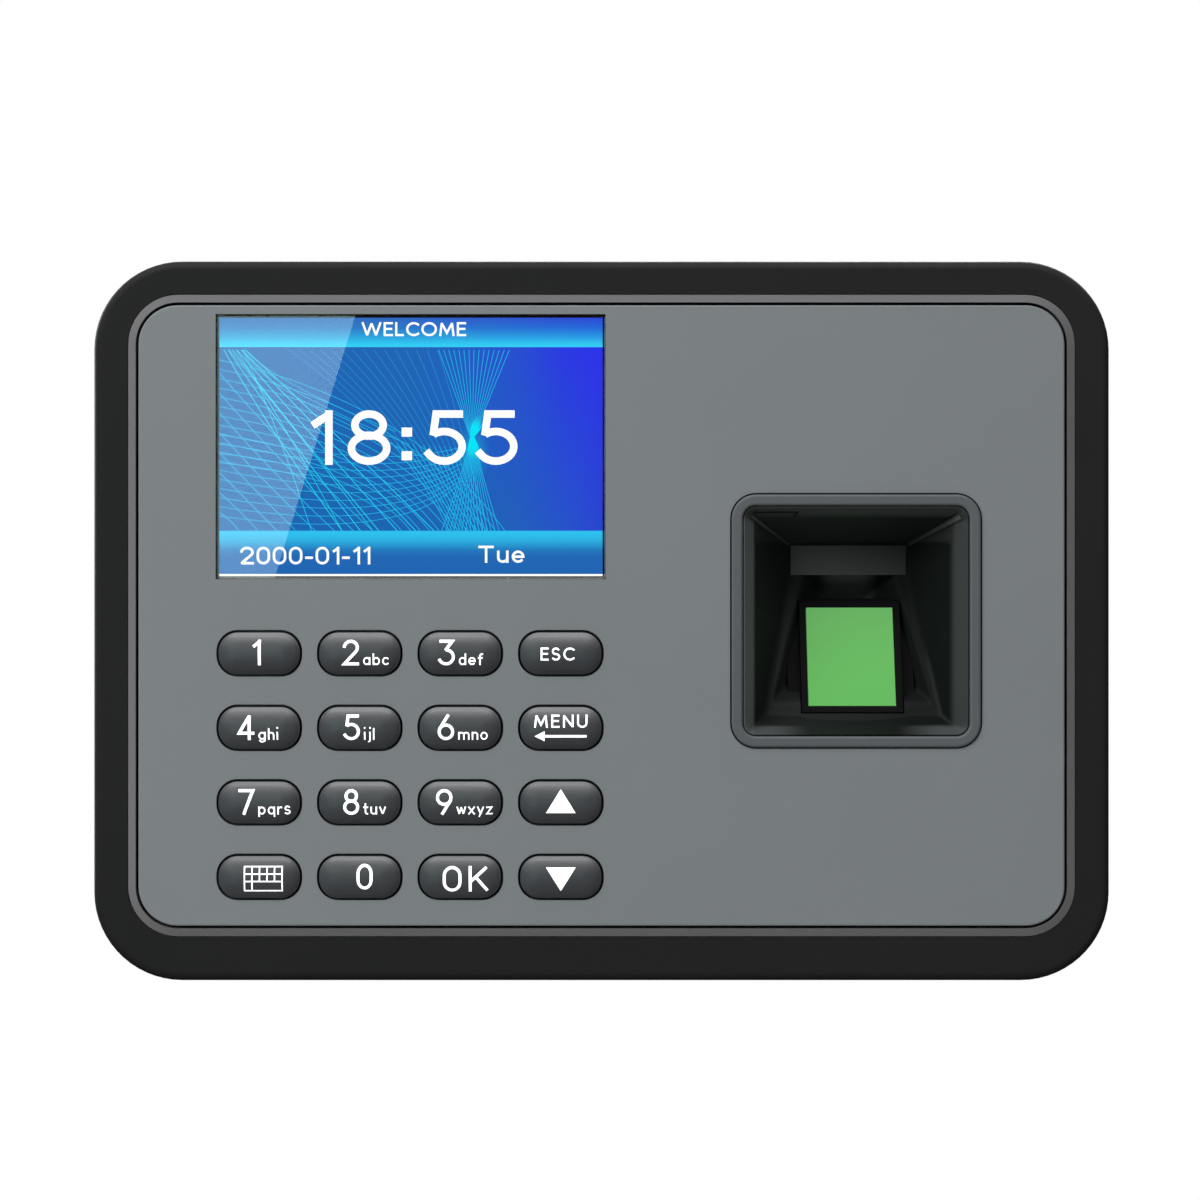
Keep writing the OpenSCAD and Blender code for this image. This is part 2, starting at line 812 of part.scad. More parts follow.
// Four screws that join the rear cover to the front shell
module cover_screws() {
    color("#8f9296") front_view()
        for (sx = [-1, 1], sy = [-1, 1]) {
            at = [sx * cover_boss_x, sy * cover_boss_y];
            peg(at, cover_screw_r, cover_seat_level - 0.5, cover_seat_level + 15);
            difference() {
                peg(at, cover_head_r, cover_seat_level - cover_head_t - 0.02,
                    cover_seat_level - 0.02);
                for (turn = [0, 90])
                    translate([each at, 0]) rotate(turn)
                        block([0, 0], [3.2, 0.7], 0, cover_seat_level - 1);
            }
        }
}

// One small pan-head screw whose head's underside is at a level, point towards the face
module small_screw(at, under, length) {
    peg(at, small_screw_r, under - 0.5, under + length);
    difference() {
        peg(at, small_head_r, under - small_head_t, under - 0.02);
        for (turn = [0, 90])
            translate([each at, 0]) rotate(turn)
                block([0, 0], [2.4, 0.55], 0, under - small_head_t + 0.8);
    }
}

// Eight small screws that hold the two boards
module board_screws() {
    color("#a5a8ab") front_view() {
        for (at = main_screws)
            small_screw(at, main_board_back - 0.02, 7);
        for (at = keypad_screws)
            small_screw(at, keypad_board_level - board_t - 0.02, 5);
    }
}

// Wall bracket: folded steel plate with two hooks, side folds and a lock tab
module wall_bracket() {
    color("#a8abae") front_view() difference() {
        union() {
            plate(bracket_w, bracket_h, 4, 0, bracket_t);
            block([0, (tab_y - bracket_h / 2) / 2 + over], [tab_w, -bracket_h / 2 - tab_y + 2 * over],
                0, bracket_t);
            block([0, tab_y + bracket_t / 2], [tab_w, bracket_t], 0, pocket_level - 0.4);
            for (sx = [-1, 1]) {
                block([sx * (bracket_w - bracket_t) / 2, 0], [bracket_t, bracket_h - 16],
                    0, bracket_flange);
                block([sx * hook_x, hook_y + bracket_t / 2], [hook_w, bracket_t],
                    0, hook_reach);
                block([sx * hook_x, hook_y + hook_rise / 2], [hook_w, hook_rise],
                    hook_reach - bracket_t, hook_reach);
            }
        }
        for (sx = [-1, 1], sy = [-1, 1])
            peg([sx * wall_hole_dx / 2, sy * wall_hole_dy / 2], wall_hole_r, -over, bracket_t + over);
        translate([0, tab_y - over, lock_level]) rotate([-90, 0, 0])
            cylinder(h = bracket_t + 2 * over, r = lock_r + 0.05);
    }
}

// Lock screw: up through the bottom of the rear cover into the bracket's tab
module lock_screw() {
    seat = -body_h / 2 + 2.4;
    color("#8f9296") front_view() translate([0, seat, lock_level]) rotate([-90, 0, 0]) {
        translate([0, 0, -0.5]) cylinder(h = 14.5, r = lock_r);
        difference() {
            translate([0, 0, -1.8]) cylinder(h = 1.78, r = lock_head_r);
            for (turn = [0, 90])
                rotate(turn) block([0, 0], [2.6, 0.6], -3, -1);
        }
    }
}

// One key: rounded cap, the flange that keeps it in the panel, and its stem
module key_cap(col, row) {
    flange_foot = key_flange_top - key_flange_t;
    color("#3c4144") front_view() translate(key_at(col, row)) {
        plate(key_w + 2 * key_flange_grow, key_h + 2 * key_flange_grow,
            key_r + key_flange_grow, flange_foot, key_flange_top);
        translate([0, 0, key_flange_top])
            soft_block(key_w, key_h, key_r, key_top - key_flange_top, key_dome_r);
        peg([0, 0], key_stem_r, key_stem_end, flange_foot);
    }
}

front_shell();
trim_frame();
face_panel();
display_window();
lcd_glass();
lcd_backlight();
lcd_flex();
keypad_mat();
keypad_board();
main_board();
board_chips();
board_connectors();
coin_cell_holder();
coin_cell();
usb_socket();
dc_jack();
well_bezel();
sensor_well();
sensor_prism();
sensor_body();
sensor_board();
sensor_cable();
speaker();
speaker_wires();
rear_cover();
rating_label();
cover_screws();
board_screws();
wall_bracket();
lock_screw();
for (col = [0:3], row = [0:3])
    key_cap(col, row);
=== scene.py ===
import math

import bpy
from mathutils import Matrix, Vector
from mathutils.geometry import delaunay_2d_cdt


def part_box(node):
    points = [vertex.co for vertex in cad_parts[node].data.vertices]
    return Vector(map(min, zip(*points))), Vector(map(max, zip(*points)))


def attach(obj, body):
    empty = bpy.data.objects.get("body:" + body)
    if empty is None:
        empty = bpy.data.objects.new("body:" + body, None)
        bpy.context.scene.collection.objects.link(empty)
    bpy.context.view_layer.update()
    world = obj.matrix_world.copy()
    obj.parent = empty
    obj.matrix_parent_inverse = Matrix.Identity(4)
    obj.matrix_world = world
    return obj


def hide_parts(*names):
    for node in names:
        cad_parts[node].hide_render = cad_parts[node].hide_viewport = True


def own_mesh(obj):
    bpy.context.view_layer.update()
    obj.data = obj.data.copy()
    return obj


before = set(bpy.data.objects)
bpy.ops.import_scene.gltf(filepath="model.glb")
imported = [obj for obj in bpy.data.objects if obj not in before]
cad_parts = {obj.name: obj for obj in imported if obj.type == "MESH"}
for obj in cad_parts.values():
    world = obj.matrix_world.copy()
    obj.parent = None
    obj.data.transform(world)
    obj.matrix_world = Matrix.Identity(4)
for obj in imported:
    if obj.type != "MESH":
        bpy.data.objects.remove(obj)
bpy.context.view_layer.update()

# A wall terminal: a black housing, a grey face with a screen and sixteen keys, and a finger well.
# Shapes are drawn in the front view, in millimetres: x to the right, y up, and the level, which
# is the distance out from the wall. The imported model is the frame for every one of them.
MM = 0.001
BODY = "terminal"
GRAIN_DEPTH = 0.2 * MM


class Box:
    """A CAD node's box in the front view: its sides, its two levels, its middle and its size."""

    def __init__(self, name):
        lo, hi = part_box(name)
        self.left, self.right, self.low, self.high, self.back, self.front = [
            v / MM for v in (lo.x, hi.x, lo.z, hi.z, -hi.y, -lo.y)]
        self.x, self.y = (self.left + self.right) / 2, (self.low + self.high) / 2
        self.w, self.h = self.right - self.left, self.high - self.low


def spot(x, y, level):
    return Vector((x, -level, y)) * MM


# -------- materials

def node_of(tree, kind, **settings):
    node = tree.nodes.new(kind)
    for key, value in settings.items():
        setattr(node, key, value)
    return node


def fill(node, **values):
    """Sets or links a node's inputs, each named as Blender shows it with _ for a space."""
    for name, value in values.items():
        socket = node.inputs[name.replace("_", " ")]
        if isinstance(value, bpy.types.NodeSocket):
            node.id_data.links.new(value, socket)
        else:
            socket.default_value = value


def new_material(name):
    material = bpy.data.materials.new(name)
    material.use_nodes = True
    tree = material.node_tree
    shader = tree.nodes["Principled BSDF"]
    return material, tree, shader


def noise_of(tree, scale, detail=3.0, stretch=(1.0, 1.0, 1.0)):
    """Noise fixed to the object, with an optional stretch along its axes."""
    mapping = node_of(tree, "ShaderNodeMapping")
    fill(mapping, Vector=node_of(tree, "ShaderNodeTexCoord").outputs["Object"], Scale=stretch)
    texture = node_of(tree, "ShaderNodeTexNoise")
    fill(texture, Vector=mapping.outputs["Vector"], Scale=scale, Detail=detail)
    return texture.outputs["Fac"]


def mapped(tree, source, low, high, to_low=0.0, to_high=1.0, ease="LINEAR"):
    """Maps one range of values to another. SMOOTHSTEP softens both of its ends."""
    ramp = node_of(tree, "ShaderNodeMapRange", interpolation_type=ease)
    fill(ramp, Value=source, From_Min=low, From_Max=high, To_Min=to_low, To_Max=to_high)
    return ramp.outputs["Result"]


def mixed(tree, factor, first, second):
    """A colour between two, each of them a colour or the output of a node."""
    mix = node_of(tree, "ShaderNodeMix", data_type="RGBA")
    first, second = [colour if isinstance(colour, bpy.types.NodeSocket) else (*colour, 1)
                     for colour in (first, second)]
    fill(mix, Factor=factor, A=first, B=second)
    return mix.outputs["Result"]


def grained(name, colour, rough, grain=0.05, grain_scale=3200.0, mottle=0.04, edge=0.12,
            metal=0.0, spec=0.5, stretch=(1.0, 1.0, 1.0)):
    """A moulded or rolled surface: fine grain, patchy roughness, faint mottling, softened edges."""
    material, tree, shader = new_material(name)
    dark = [c * (1 - mottle) for c in colour]
    light = [c * (1 + mottle) for c in colour]
    patches = noise_of(tree, 38.0, 4.0)
    patchy = mapped(tree, patches, 0.3, 0.7, rough * 0.92, rough * 1.1)
    bump = node_of(tree, "ShaderNodeBump")
    fill(bump, Strength=grain, Distance=GRAIN_DEPTH,
         Height=noise_of(tree, grain_scale, stretch=stretch))
    if edge:
        rounded = node_of(tree, "ShaderNodeBevel", samples=4)
        fill(rounded, Radius=edge * MM)
        fill(bump, Normal=rounded.outputs["Normal"])
    fill(shader, Base_Color=mixed(tree, patches, dark, light), Roughness=patchy, Metallic=metal,
         Specular_IOR_Level=spec, Normal=bump.outputs["Normal"])
    return material


def lit(name, colour, strength):
    """A surface of the lit picture."""
    material, _, shader = new_material(name)
    fill(shader, Base_Color=(0, 0, 0, 1), Specular_IOR_Level=0, Emission_Color=(*colour, 1),
         Emission_Strength=strength)
    return material


def distance_from(tree, centre, scale):
    """Distance on the object from a place, with each axis scaled."""
    source = node_of(tree, "ShaderNodeTexCoord").outputs["Object"]
    for operation, value in (("SUBTRACT", centre), ("MULTIPLY", scale), ("LENGTH", None)):
        step = node_of(tree, "ShaderNodeVectorMath", operation=operation)
        if value:
            step.inputs[1].default_value = value
        tree.links.new(source, step.inputs[0])
        source = step.outputs["Value" if operation == "LENGTH" else "Vector"]
    return source


def linear(r, g, b):
    """An 8-bit display colour as linear light."""
    out = []
    for c in (r, g, b):
        c = c / 255
        out.append(c / 12.92 if c <= 0.04045 else ((c + 0.055) / 1.055) ** 2.4)
    return tuple(out)


HOUSING = grained("housing_black", (0.0060, 0.0060, 0.0061), 0.55, grain=0.10, mottle=0.08,
                  spec=0.12)
FACE = grained("face_grey", (0.080, 0.087, 0.091), 0.50, mottle=0.02, spec=0.26)
TRIM = grained("trim_grey", (0.061, 0.061, 0.063), 0.62, grain=0.03, mottle=0.03, spec=0.06)
WELL_FRAME = grained("well_frame_grey", (0.041, 0.045, 0.048), 0.45, grain=0.04, mottle=0.03,
                     spec=0.26)
SENSOR_BODY = grained("sensor_black", (0.0018, 0.0018, 0.0023), 0.50, grain=0.01, edge=0.15,
                      spec=0.03)
KEYCAP = grained("keycap_black", (0.020, 0.022, 0.024), 0.40, grain=0.012, mottle=0.05, edge=0,
                 spec=0.72)
SILICONE = grained("silicone_dark", (0.011, 0.011, 0.012), 0.60, edge=0)
BOARD = grained("board_green", (0.010, 0.065, 0.030), 0.35, grain=0.03, mottle=0.15, edge=0)
CHIP = grained("chip_black", (0.012, 0.012, 0.013), 0.45, edge=0.08)
SOCKET = grained("socket_black", (0.012, 0.012, 0.013), 0.35, grain=0.03, edge=0.10)
IVORY = grained("connector_ivory", (0.62, 0.57, 0.45), 0.40, grain=0.03, edge=0.08)
BRIGHT = grained("bright_steel", (0.62, 0.62, 0.63), 0.24, metal=1.0, grain=0.02, edge=0.10)
SCREW = grained("screw_steel", (0.40, 0.40, 0.41), 0.30, metal=1.0, grain=0.03, edge=0.08)
BRACKET = grained("bracket_steel", (0.50, 0.51, 0.52), 0.36, metal=1.0, grain_scale=700.0,
                  stretch=(1.0, 1.0, 14.0), edge=0.20, mottle=0.02)
LABEL = grained("label_silver", (0.52, 0.53, 0.54), 0.42, grain=0.02, mottle=0.03, edge=0)
FILM = grained("film_amber", (0.35, 0.16, 0.03), 0.30, grain=0.02, edge=0)
PLASTIC = grained("plastic_white", (0.62, 0.62, 0.60), 0.45, grain=0.03, edge=0.08)
CABLE = grained("cable_grey", (0.22, 0.22, 0.23), 0.45, grain=0.04, edge=0)
RED_WIRE = grained("wire_red", (0.35, 0.02, 0.015), 0.40, grain=0.03, edge=0)
CELL = grained("cell_dark", (0.006, 0.007, 0.010), 0.12, grain=0.0, edge=0)
PRINT = grained("print_black", (0.002, 0.002, 0.002), 0.6, grain=0.0, edge=0, spec=0.1)
INK = grained("legend_ink", (0.84, 0.85, 0.85), 0.50, grain=0.0, mottle=0.01, edge=0)


def sensor_glass():
    """The scanner's window: smooth, and lit green from inside with faint, soft patches."""
    material, tree, shader = new_material("sensor_green")
    fill(shader, Base_Color=(*linear(40, 92, 36), 1), Roughness=0.16, Specular_IOR_Level=0.35,
         Emission_Strength=0.465)
    glow = mixed(tree, noise_of(tree, 60.0, 2.0), linear(96, 176, 87), linear(106, 188, 97))
    fill(shader, Emission_Color=glow)
    return material


NODE_MATERIALS = {
    "front_shell": HOUSING, "rear_cover": HOUSING, "trim_frame": TRIM, "face_panel": FACE,
    "lcd_glass": CELL, "lcd_backlight": PLASTIC,
    "lcd_flex": FILM, "keypad_board": BOARD, "main_board": BOARD,
    "board_chips": CHIP, "board_connectors": IVORY, "coin_cell_holder": SOCKET,
    "coin_cell": BRIGHT, "usb_socket": BRIGHT, "dc_jack": SOCKET, "well_bezel": WELL_FRAME,
    "sensor_prism": sensor_glass(), "sensor_body": SENSOR_BODY,
    "sensor_board": BOARD, "sensor_cable": CABLE, "speaker": SOCKET,
    "speaker_wires": RED_WIRE, "rating_label": LABEL, "cover_screws": SCREW,
    "board_screws": SCREW, "wall_bracket": BRACKET, "lock_screw": SCREW,
}
for name, material in NODE_MATERIALS.items():
    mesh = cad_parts[name].data
    mesh.materials.clear()
    mesh.materials.append(material)


# -------- mesh helpers

def placed(name, data):
    """A new object in the scene."""
    item = bpy.data.objects.new(name, data)
    bpy.context.scene.collection.objects.link(item)
    return item


def mesh_object(name, points, faces, material, smooth=False):
    mesh = bpy.data.meshes.new(name)
    mesh.from_pydata([spot(*p) for p in points], [], faces)
    mesh.materials.append(material)
    mesh.polygons.foreach_set("use_smooth", [smooth] * len(mesh.polygons))
    mesh.update()
    return placed(name, mesh)


def outline(w, h, r, steps=10, along=1):
    """Points round a rounded rectangle, anticlockwise as the viewer sees it.
    Each corner has a number of steps, and each side between corners has its own."""
    r = max(r, 0.0)
    corners = []
    for corner in range(4):
        sx = 1 if corner in (0, 3) else -1
        sy = 1 if corner < 2 else -1
        turns = [math.radians(90 * (corner + step / steps)) for step in range(steps + 1)]
        corners.append([(sx * (w / 2 - r) + r * math.cos(a), sy * (h / 2 - r) + r * math.sin(a))
                        for a in turns])
    points = []
    for corner, following in zip(corners, corners[1:] + corners[:1]):
        (x0, y0), (x1, y1) = corner[-1], following[0]
        points += corner
        points += [(x0 + (x1 - x0) * k / along, y0 + (y1 - y0) * k / along)
                   for k in range(1, along)]
    return points


def stack(rings):
    """Closed skin through rings of (outline, level), from the back to the front, capped."""
    points = []
    for ring, level in rings:
        points += [(x, y, level) for x, y in ring]
    n = len(rings[0][0])
    faces = [tuple(reversed(range(n)))]
    for k in range(len(rings) - 1):
        for i in range(n):
            j = (i + 1) % n
            faces.append((k * n + i, k * n + j, (k + 1) * n + j, (k + 1) * n + i))
    last = (len(rings) - 1) * n
    faces.append(tuple(range(last, last + n)))
    return merged(points, faces)


def merged(points, faces):
    """The same skin with coincident points made one, and without the faces that this closes."""
    places = {}
    index = [places.setdefault(tuple(round(c, 5) for c in p), len(places)) for p in points]
    kept = []
    for face in faces:
        loop = [index[i] for i in face]
        loop = [i for k, i in enumerate(loop) if i != loop[k - 1]]
        if len(loop) > 2:
            kept.append(tuple(loop))
    return list(places), kept


def pierced(outer, holes, low, high):
    """A plate with openings, from its outlines and its two levels."""
    flat, edges, loop_of = [], [], []
    for number, loop in enumerate([outer] + [hole[::-1] for hole in holes]):
        start = len(flat)
        flat += [Vector(p) for p in loop]
        edges += [(start + i, start + (i + 1) % len(loop)) for i in range(len(loop))]
        loop_of += [number] * len(loop)
    tops = [top for top in delaunay_2d_cdt(flat, edges, [], 1, MERGE, True)[2]
            if loop_of[top[0]] == 0 or len({loop_of[i] for i in top}) > 1]
    n = len(flat)
    points = [(x, y, level) for level in (low, high) for x, y in flat]
    faces = [tuple(reversed(top)) for top in tops] + [tuple(i + n for i in top) for top in tops]
    faces += [(a, b, b + n, a + n) for a, b in edges]
    return points, faces


class Sheet:
    """Flat strips and patches that lie on a surface whose level is a function of the place."""

    def __init__(self, surface, lift=0.0, step=None):
        self.surface = surface
        self.lift = lift
        self.step = step
        self.points = []
        self.faces = []

    def add(self, x, y):
        self.points.append(Vector((x, y)))
        return len(self.points) - 1

    def area(self, a, b, c):
        """Area of a triangle of points, less than zero if it runs clockwise."""
        p, q, r = self.points[a], self.points[b], self.points[c]
        return ((q.x - p.x) * (r.y - p.y) - (r.x - p.x) * (q.y - p.y)) / 2

    def skin(self):
        """The strips and patches merged into one skin of triangles, with nothing overlapping."""
        corners = [(face[0], b, c) for face in self.faces for b, c in zip(face[1:], face[2:])]
        corners = [t if self.area(*t) > 0 else (t[0], t[2], t[1]) for t in corners
                   if abs(self.area(*t)) > MERGE]
        points, _, triangles, _, _, owners = delaunay_2d_cdt(self.points, [], corners, 0,
                                                             MERGE, True)
        raised = [(x, y, self.surface(x, y) + self.lift) for x, y in points]
        return raised, [face for face, owner in zip(triangles, owners) if owner]

    def ribbon(self, path, width):
        """A strip of even width along a smooth path."""
        path = finer(path, self.step) if self.step else path
        sides = []
        for i, (x, y) in enumerate(path):
            ux, uy = heading(path[max(i - 1, 0)], path[min(i + 1, len(path) - 1)])
            sides.append((self.add(x - uy * width / 2, y + ux * width / 2),
                          self.add(x + uy * width / 2, y - ux * width / 2)))
        for (l0, r0), (l1, r1) in zip(sides, sides[1:]):
            self.faces.append((r0, r1, l1, l0))

    def corner(self, a, b, c, width):
        """Fills the outer side of a sharp corner at b: to a point, or cut off if it is acute."""
        ux, uy = heading(a, b)
        vx, vy = heading(b, c)
        side = -1 if ux * vy - uy * vx > 0 else 1
        half = side * width / 2
        first = (b[0] - uy * half, b[1] + ux * half)
        last = (b[0] - vy * half, b[1] + vx * half)
        spread_out = 1 + ux * vx + uy * vy
        corners = [b, first, last]
        if spread_out > ACUTE:
            tip = (b[0] - (uy + vy) * half / spread_out, b[1] + (ux + vx) * half / spread_out)
            corners = [b, first, tip, last]
        if side > 0:
            corners.reverse()
        self.faces.append(tuple(self.add(x, y) for x, y in corners))

    def stroke(self, path, width):
        """A pen stroke with square ends, or a closed loop."""
        if math.dist(path[0], path[-1]) > width * 0.05:
            path = [ahead(path[1], path[0], width / 2)] + path[1:]
            path[-1] = ahead(path[-2], path[-1], width / 2)
        part = [path[0]]
        for i in range(1, len(path)):
            part.append(path[i])
            if i + 1 < len(path) and turn(path[i - 1], path[i], path[i + 1]) > SHARP:
                self.ribbon(part, width)
                self.corner(path[i - 1], path[i], path[i + 1], width)
                part = [path[i]]
        self.ribbon(part, width)

    def row_patch(self, rows):
        """A filled shape given as (y, left x, right x) rows from the bottom up."""
        ends = [(self.add(x0, y), self.add(x1, y)) for y, x0, x1 in rows]
        for (l0, r0), (l1, r1) in zip(ends, ends[1:]):
            self.faces.append((l0, r0, r1, l1))


# Points closer than this are one, a path that turns by more radians than this has a corner, and
# a corner whose two sides point more nearly apart than this is cut off
MERGE = 0.0001
SHARP = 0.45
ACUTE = 0.30


def shares(n):
    """Evenly spaced numbers from 0 to 1."""
    return [k / (n - 1) for k in range(n)]


def finer(path, step):
    out = [path[0]]
    for (x0, y0), (x1, y1) in zip(path, path[1:]):
        n = max(1, math.ceil(math.hypot(x1 - x0, y1 - y0) / step))
        out += [(x0 + (x1 - x0) * k / n, y0 + (y1 - y0) * k / n) for k in range(1, n + 1)]
    return out


def heading(a, b):
    d = math.dist(a, b) or 1.0
    return ((b[0] - a[0]) / d, (b[1] - a[1]) / d)


def turn(a, b, c):
    """Angle by which a path turns at b."""
    ux, uy = heading(a, b)
    vx, vy = heading(b, c)
    return abs(math.atan2(ux * vy - uy * vx, ux * vx + uy * vy))


def ahead(a, b, reach):
    """The point past b on the line from a."""
    ux, uy = heading(a, b)
    return (b[0] + ux * reach, b[1] + uy * reach)


# -------- lettering

def arc(cx, cy, rx, ry, start, end):
    n = max(3, round(abs(end - start) / 12))
    angles = [math.radians(start + (end - start) * k / n) for k in range(n + 1)]
    return [(cx + rx * math.cos(a), cy + ry * math.sin(a)) for a in angles]


def flipped(strokes, w, h):
    return [[(w - x, h - y) for x, y in stroke] for stroke in strokes]


# Small letters: height of their bodies, depth of their tails, and their round parts
X = 0.67
TAIL = -0.26
ROUND = arc(0.26, X / 2, 0.26, X / 2, 0, 360)
ARCH = arc(0.22, X - 0.24, 0.22, 0.24, 170, 0) + [(0.44, 0)]
SIX = [[(0.36, 1), (0.03, 0.45)], arc(0.29, 0.30, 0.29, 0.30, 0, 360)]
GLYPHS = {
    "0": [arc(0.28, 0.64, 0.28, 0.36, 0, 180) + arc(0.28, 0.36, 0.28, 0.36, 180, 360)
          + [(0.56, 0.64)]],
    "1": [[(0.26, 1), (0.26, 0)], [(0.05, 0.80), (0.22, 0.95)]],
    "2": [arc(0.28, 0.72, 0.28, 0.28, 168, -42) + [(0, 0), (0.57, 0)]],
    "3": [[(0.02, 1), (0.50, 1), (0.21, 0.60)] + arc(0.24, 0.31, 0.31, 0.31, 92, -152)],
    "4": [[(0.59, 0.24), (0, 0.24), (0.43, 1), (0.43, 0)]],
    "5": [[(0.51, 1), (0.11, 1), (0.06, 0.55)] + arc(0.25, 0.315, 0.31, 0.315, 126, -150)],
    "6": SIX,
    "7": [[(0, 1), (0.56, 1), (0.19, 0)]],
    "8": [arc(0.28, 0.765, 0.225, 0.235, -90, 270), arc(0.28, 0.275, 0.28, 0.275, 90, 450)],
    "9": flipped(SIX, 0.58, 1),
    ":": [[(0, 0.10), (0.03, 0.10)], [(0, 0.62), (0.03, 0.62)]],
    "-": [[(0, 0.36), (0.27, 0.36)]],
    "a": [ROUND, [(0.52, X), (0.52, 0)]],
    "b": [ROUND, [(0, 1.05), (0, 0)]],
    "c": [arc(0.26, X / 2, 0.26, X / 2, 48, 312)],
    "d": [ROUND, [(0.52, 1.05), (0.52, 0)]],
    "e": [[(0, X / 2), (0.5, X / 2)], arc(0.26, X / 2, 0.26, X / 2, 0, 312)],
    "f": [arc(0.30, 0.85, 0.18, 0.20, 80, 180) + [(0.12, 0)], [(0, X), (0.30, X)]],
    "g": [ROUND, [(0.52, X), (0.52, 0)] + arc(0.27, -0.06, 0.25, 0.22, 0, -150)],
    "h": [[(0, 1.05), (0, 0)], ARCH],
    "i": [[(0, X), (0, 0)], [(0, 1.14), (0, 1.16)]],
    "j": [[(0.14, X), (0.14, -0.1)] + arc(0, -0.1, 0.14, 0.16, 0, -80),
          [(0.14, 1.14), (0.14, 1.16)]],
    "l": [[(0, 1.05), (0, 0)]],
    "m": [[(0, X), (0, 0)], ARCH, [(x + 0.44, y) for x, y in ARCH]],
    "n": [[(0, X), (0, 0)], ARCH],
    "o": [ROUND],
    "p": [ROUND, [(0, X), (0, TAIL)]],
    "q": [ROUND, [(0.52, X), (0.52, TAIL)]],
    "r": [[(0, X), (0, 0)], arc(0.24, X - 0.28, 0.24, 0.28, 175, 75)],
    "s": [arc(0.20, 0.57, 0.19, 0.19, 40, 265) + arc(0.20, 0.19, 0.21, 0.19, 85, -140)],
    "t": [[(0.13, 1), (0.13, 0.16)] + arc(0.27, 0.16, 0.14, 0.16, 180, 280),
          [(0, X), (0.31, X)]],
    "u": [[(0, X)] + arc(0.23, 0.25, 0.23, 0.25, 180, 360), [(0.46, X), (0.46, 0)]],
    "v": [[(0, X), (0.23, 0), (0.46, X)]],
    "w": [[(0, X), (0.18, 0), (0.36, X), (0.54, 0), (0.72, X)]],
    "x": [[(0, X), (0.46, 0)], [(0.46, X), (0, 0)]],
    "y": [[(0, X), (0.24, 0.02)], [(0.48, X), (0.13, TAIL)]],
    "z": [[(0, X), (0.42, X), (0, 0), (0.44, 0)]],
    "C": [arc(0.46, 0.5, 0.46, 0.5, 50, 310)],
    "E": [[(0.50, 1), (0, 1), (0, 0), (0.50, 0)], [(0, 0.52), (0.45, 0.52)]],
    "K": [[(0, 1), (0, 0)], [(0.54, 0.97), (0.03, 0.40)], [(0.20, 0.58), (0.58, 0.03)]],
    "L": [[(0, 1), (0, 0), (0.46, 0)]],
    "M": [[(0, 0), (0.10, 1), (0.46, 0.18), (0.82, 1), (0.92, 0)]],
    "N": [[(0, 0), (0, 1), (0.68, 0), (0.68, 1)]],
    "O": [arc(0.47, 0.5, 0.47, 0.5, 0, 360)],
    "S": [arc(0.26, 0.745, 0.25, 0.255, 38, 268) + arc(0.26, 0.25, 0.28, 0.25, 88, -142)],
    "T": [[(0, 1), (0.66, 1)], [(0.33, 1), (0.33, 0)]],
    "U": [[(0, 1)] + arc(0.33, 0.33, 0.33, 0.33, 180, 360) + [(0.66, 1)]],
    "W": [[(0, 1), (0.30, 0), (0.61, 0.98), (0.92, 0), (1.22, 1)]],
}


def glyph_width(c):
    return max(x for stroke in GLYPHS[c] for x, y in stroke)


def write(sheet, text, left, right, bottom, top, width, gap):
    """Draws a line of text so that its ink runs from left to right and from bottom to top.
    Capitals and digits have that full height. Letters are a gap apart, and stretch to fit."""
    tall = top - bottom - width
    bare = sum(glyph_width(c) for c in text) * tall
    stretch = 1.0
    if bare:
        stretch = (right - left - width * len(text) - gap * (len(text) - 1)) / bare
    x = left
    for c in text:
        for stroke in GLYPHS[c]:
            path = [(x + width / 2 + px * tall * stretch, bottom + width / 2 + py * tall)
                    for px, py in stroke]
            sheet.stroke(path, width)
        x += glyph_width(c) * tall * stretch + width + gap


# -------- the finger well

well = Box("sensor_well")
FLANGE_R = 5.0
bezel = Box("well_bezel")
BEZEL_T = 2.1
NECK_W, NECK_H, NECK_R = bezel.w - 2 * BEZEL_T - 0.3, bezel.h - 2 * BEZEL_T - 0.3, 2.35
MOUTH_X, MOUTH_Y, MOUTH_R = NECK_W / 2 - 0.2, NECK_H / 2 - 0.2, NECK_R - 0.2
WELL_SKIN = 1.6
# The walls: a lip, then steeper sides down to the flat floor at the back
LIP_IN, LIP_DROP = 1.75, 2.5
FLOOR_LEVEL, FLOOR_X, FLOOR_TOP = 17.0, 11.4, 14.5
SENSOR_TILT = math.radians(20.5)
SENSOR_EDGE = 1.55
RAMP_FOOT = -18.0
SCOOP_DEEP, SCOOP_HALF = 0.9, 11.0
VALLEY = 1.5
prism = Box("sensor_prism")
face_panel = Box("face_panel")


def sensor_window():
    """The middle of the sensor's glass in the front view: height, level, and half its height."""
    facing = Vector((0, -math.cos(SENSOR_TILT), math.sin(SENSOR_TILT)))
    corners = [v.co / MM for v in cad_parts["sensor_prism"].data.vertices]
    reach = max(p.dot(facing) for p in corners)
    glass = [p for p in corners if p.dot(facing) > reach - 0.01]
    low, high = min(p.z for p in glass), max(p.z for p in glass)
    level = (min(-p.y for p in glass) + max(-p.y for p in glass)) / 2
    return (low + high) / 2, level + 0.1 / math.cos(SENSOR_TILT), (high - low) / 2


SENSOR_Y, SENSOR_LEVEL, SENSOR_HALF = sensor_window()


def ramp_level(y):
    return SENSOR_LEVEL - (y - SENSOR_Y) * math.tan(SENSOR_TILT)


def rounded_max(a, b, blend=VALLEY):
    """The higher of two levels, with the valley between them filled to a curve."""
    gap = abs(a - b)
    return max(a, b) + (max(0.0, blend - gap) ** 2) / (4 * blend)


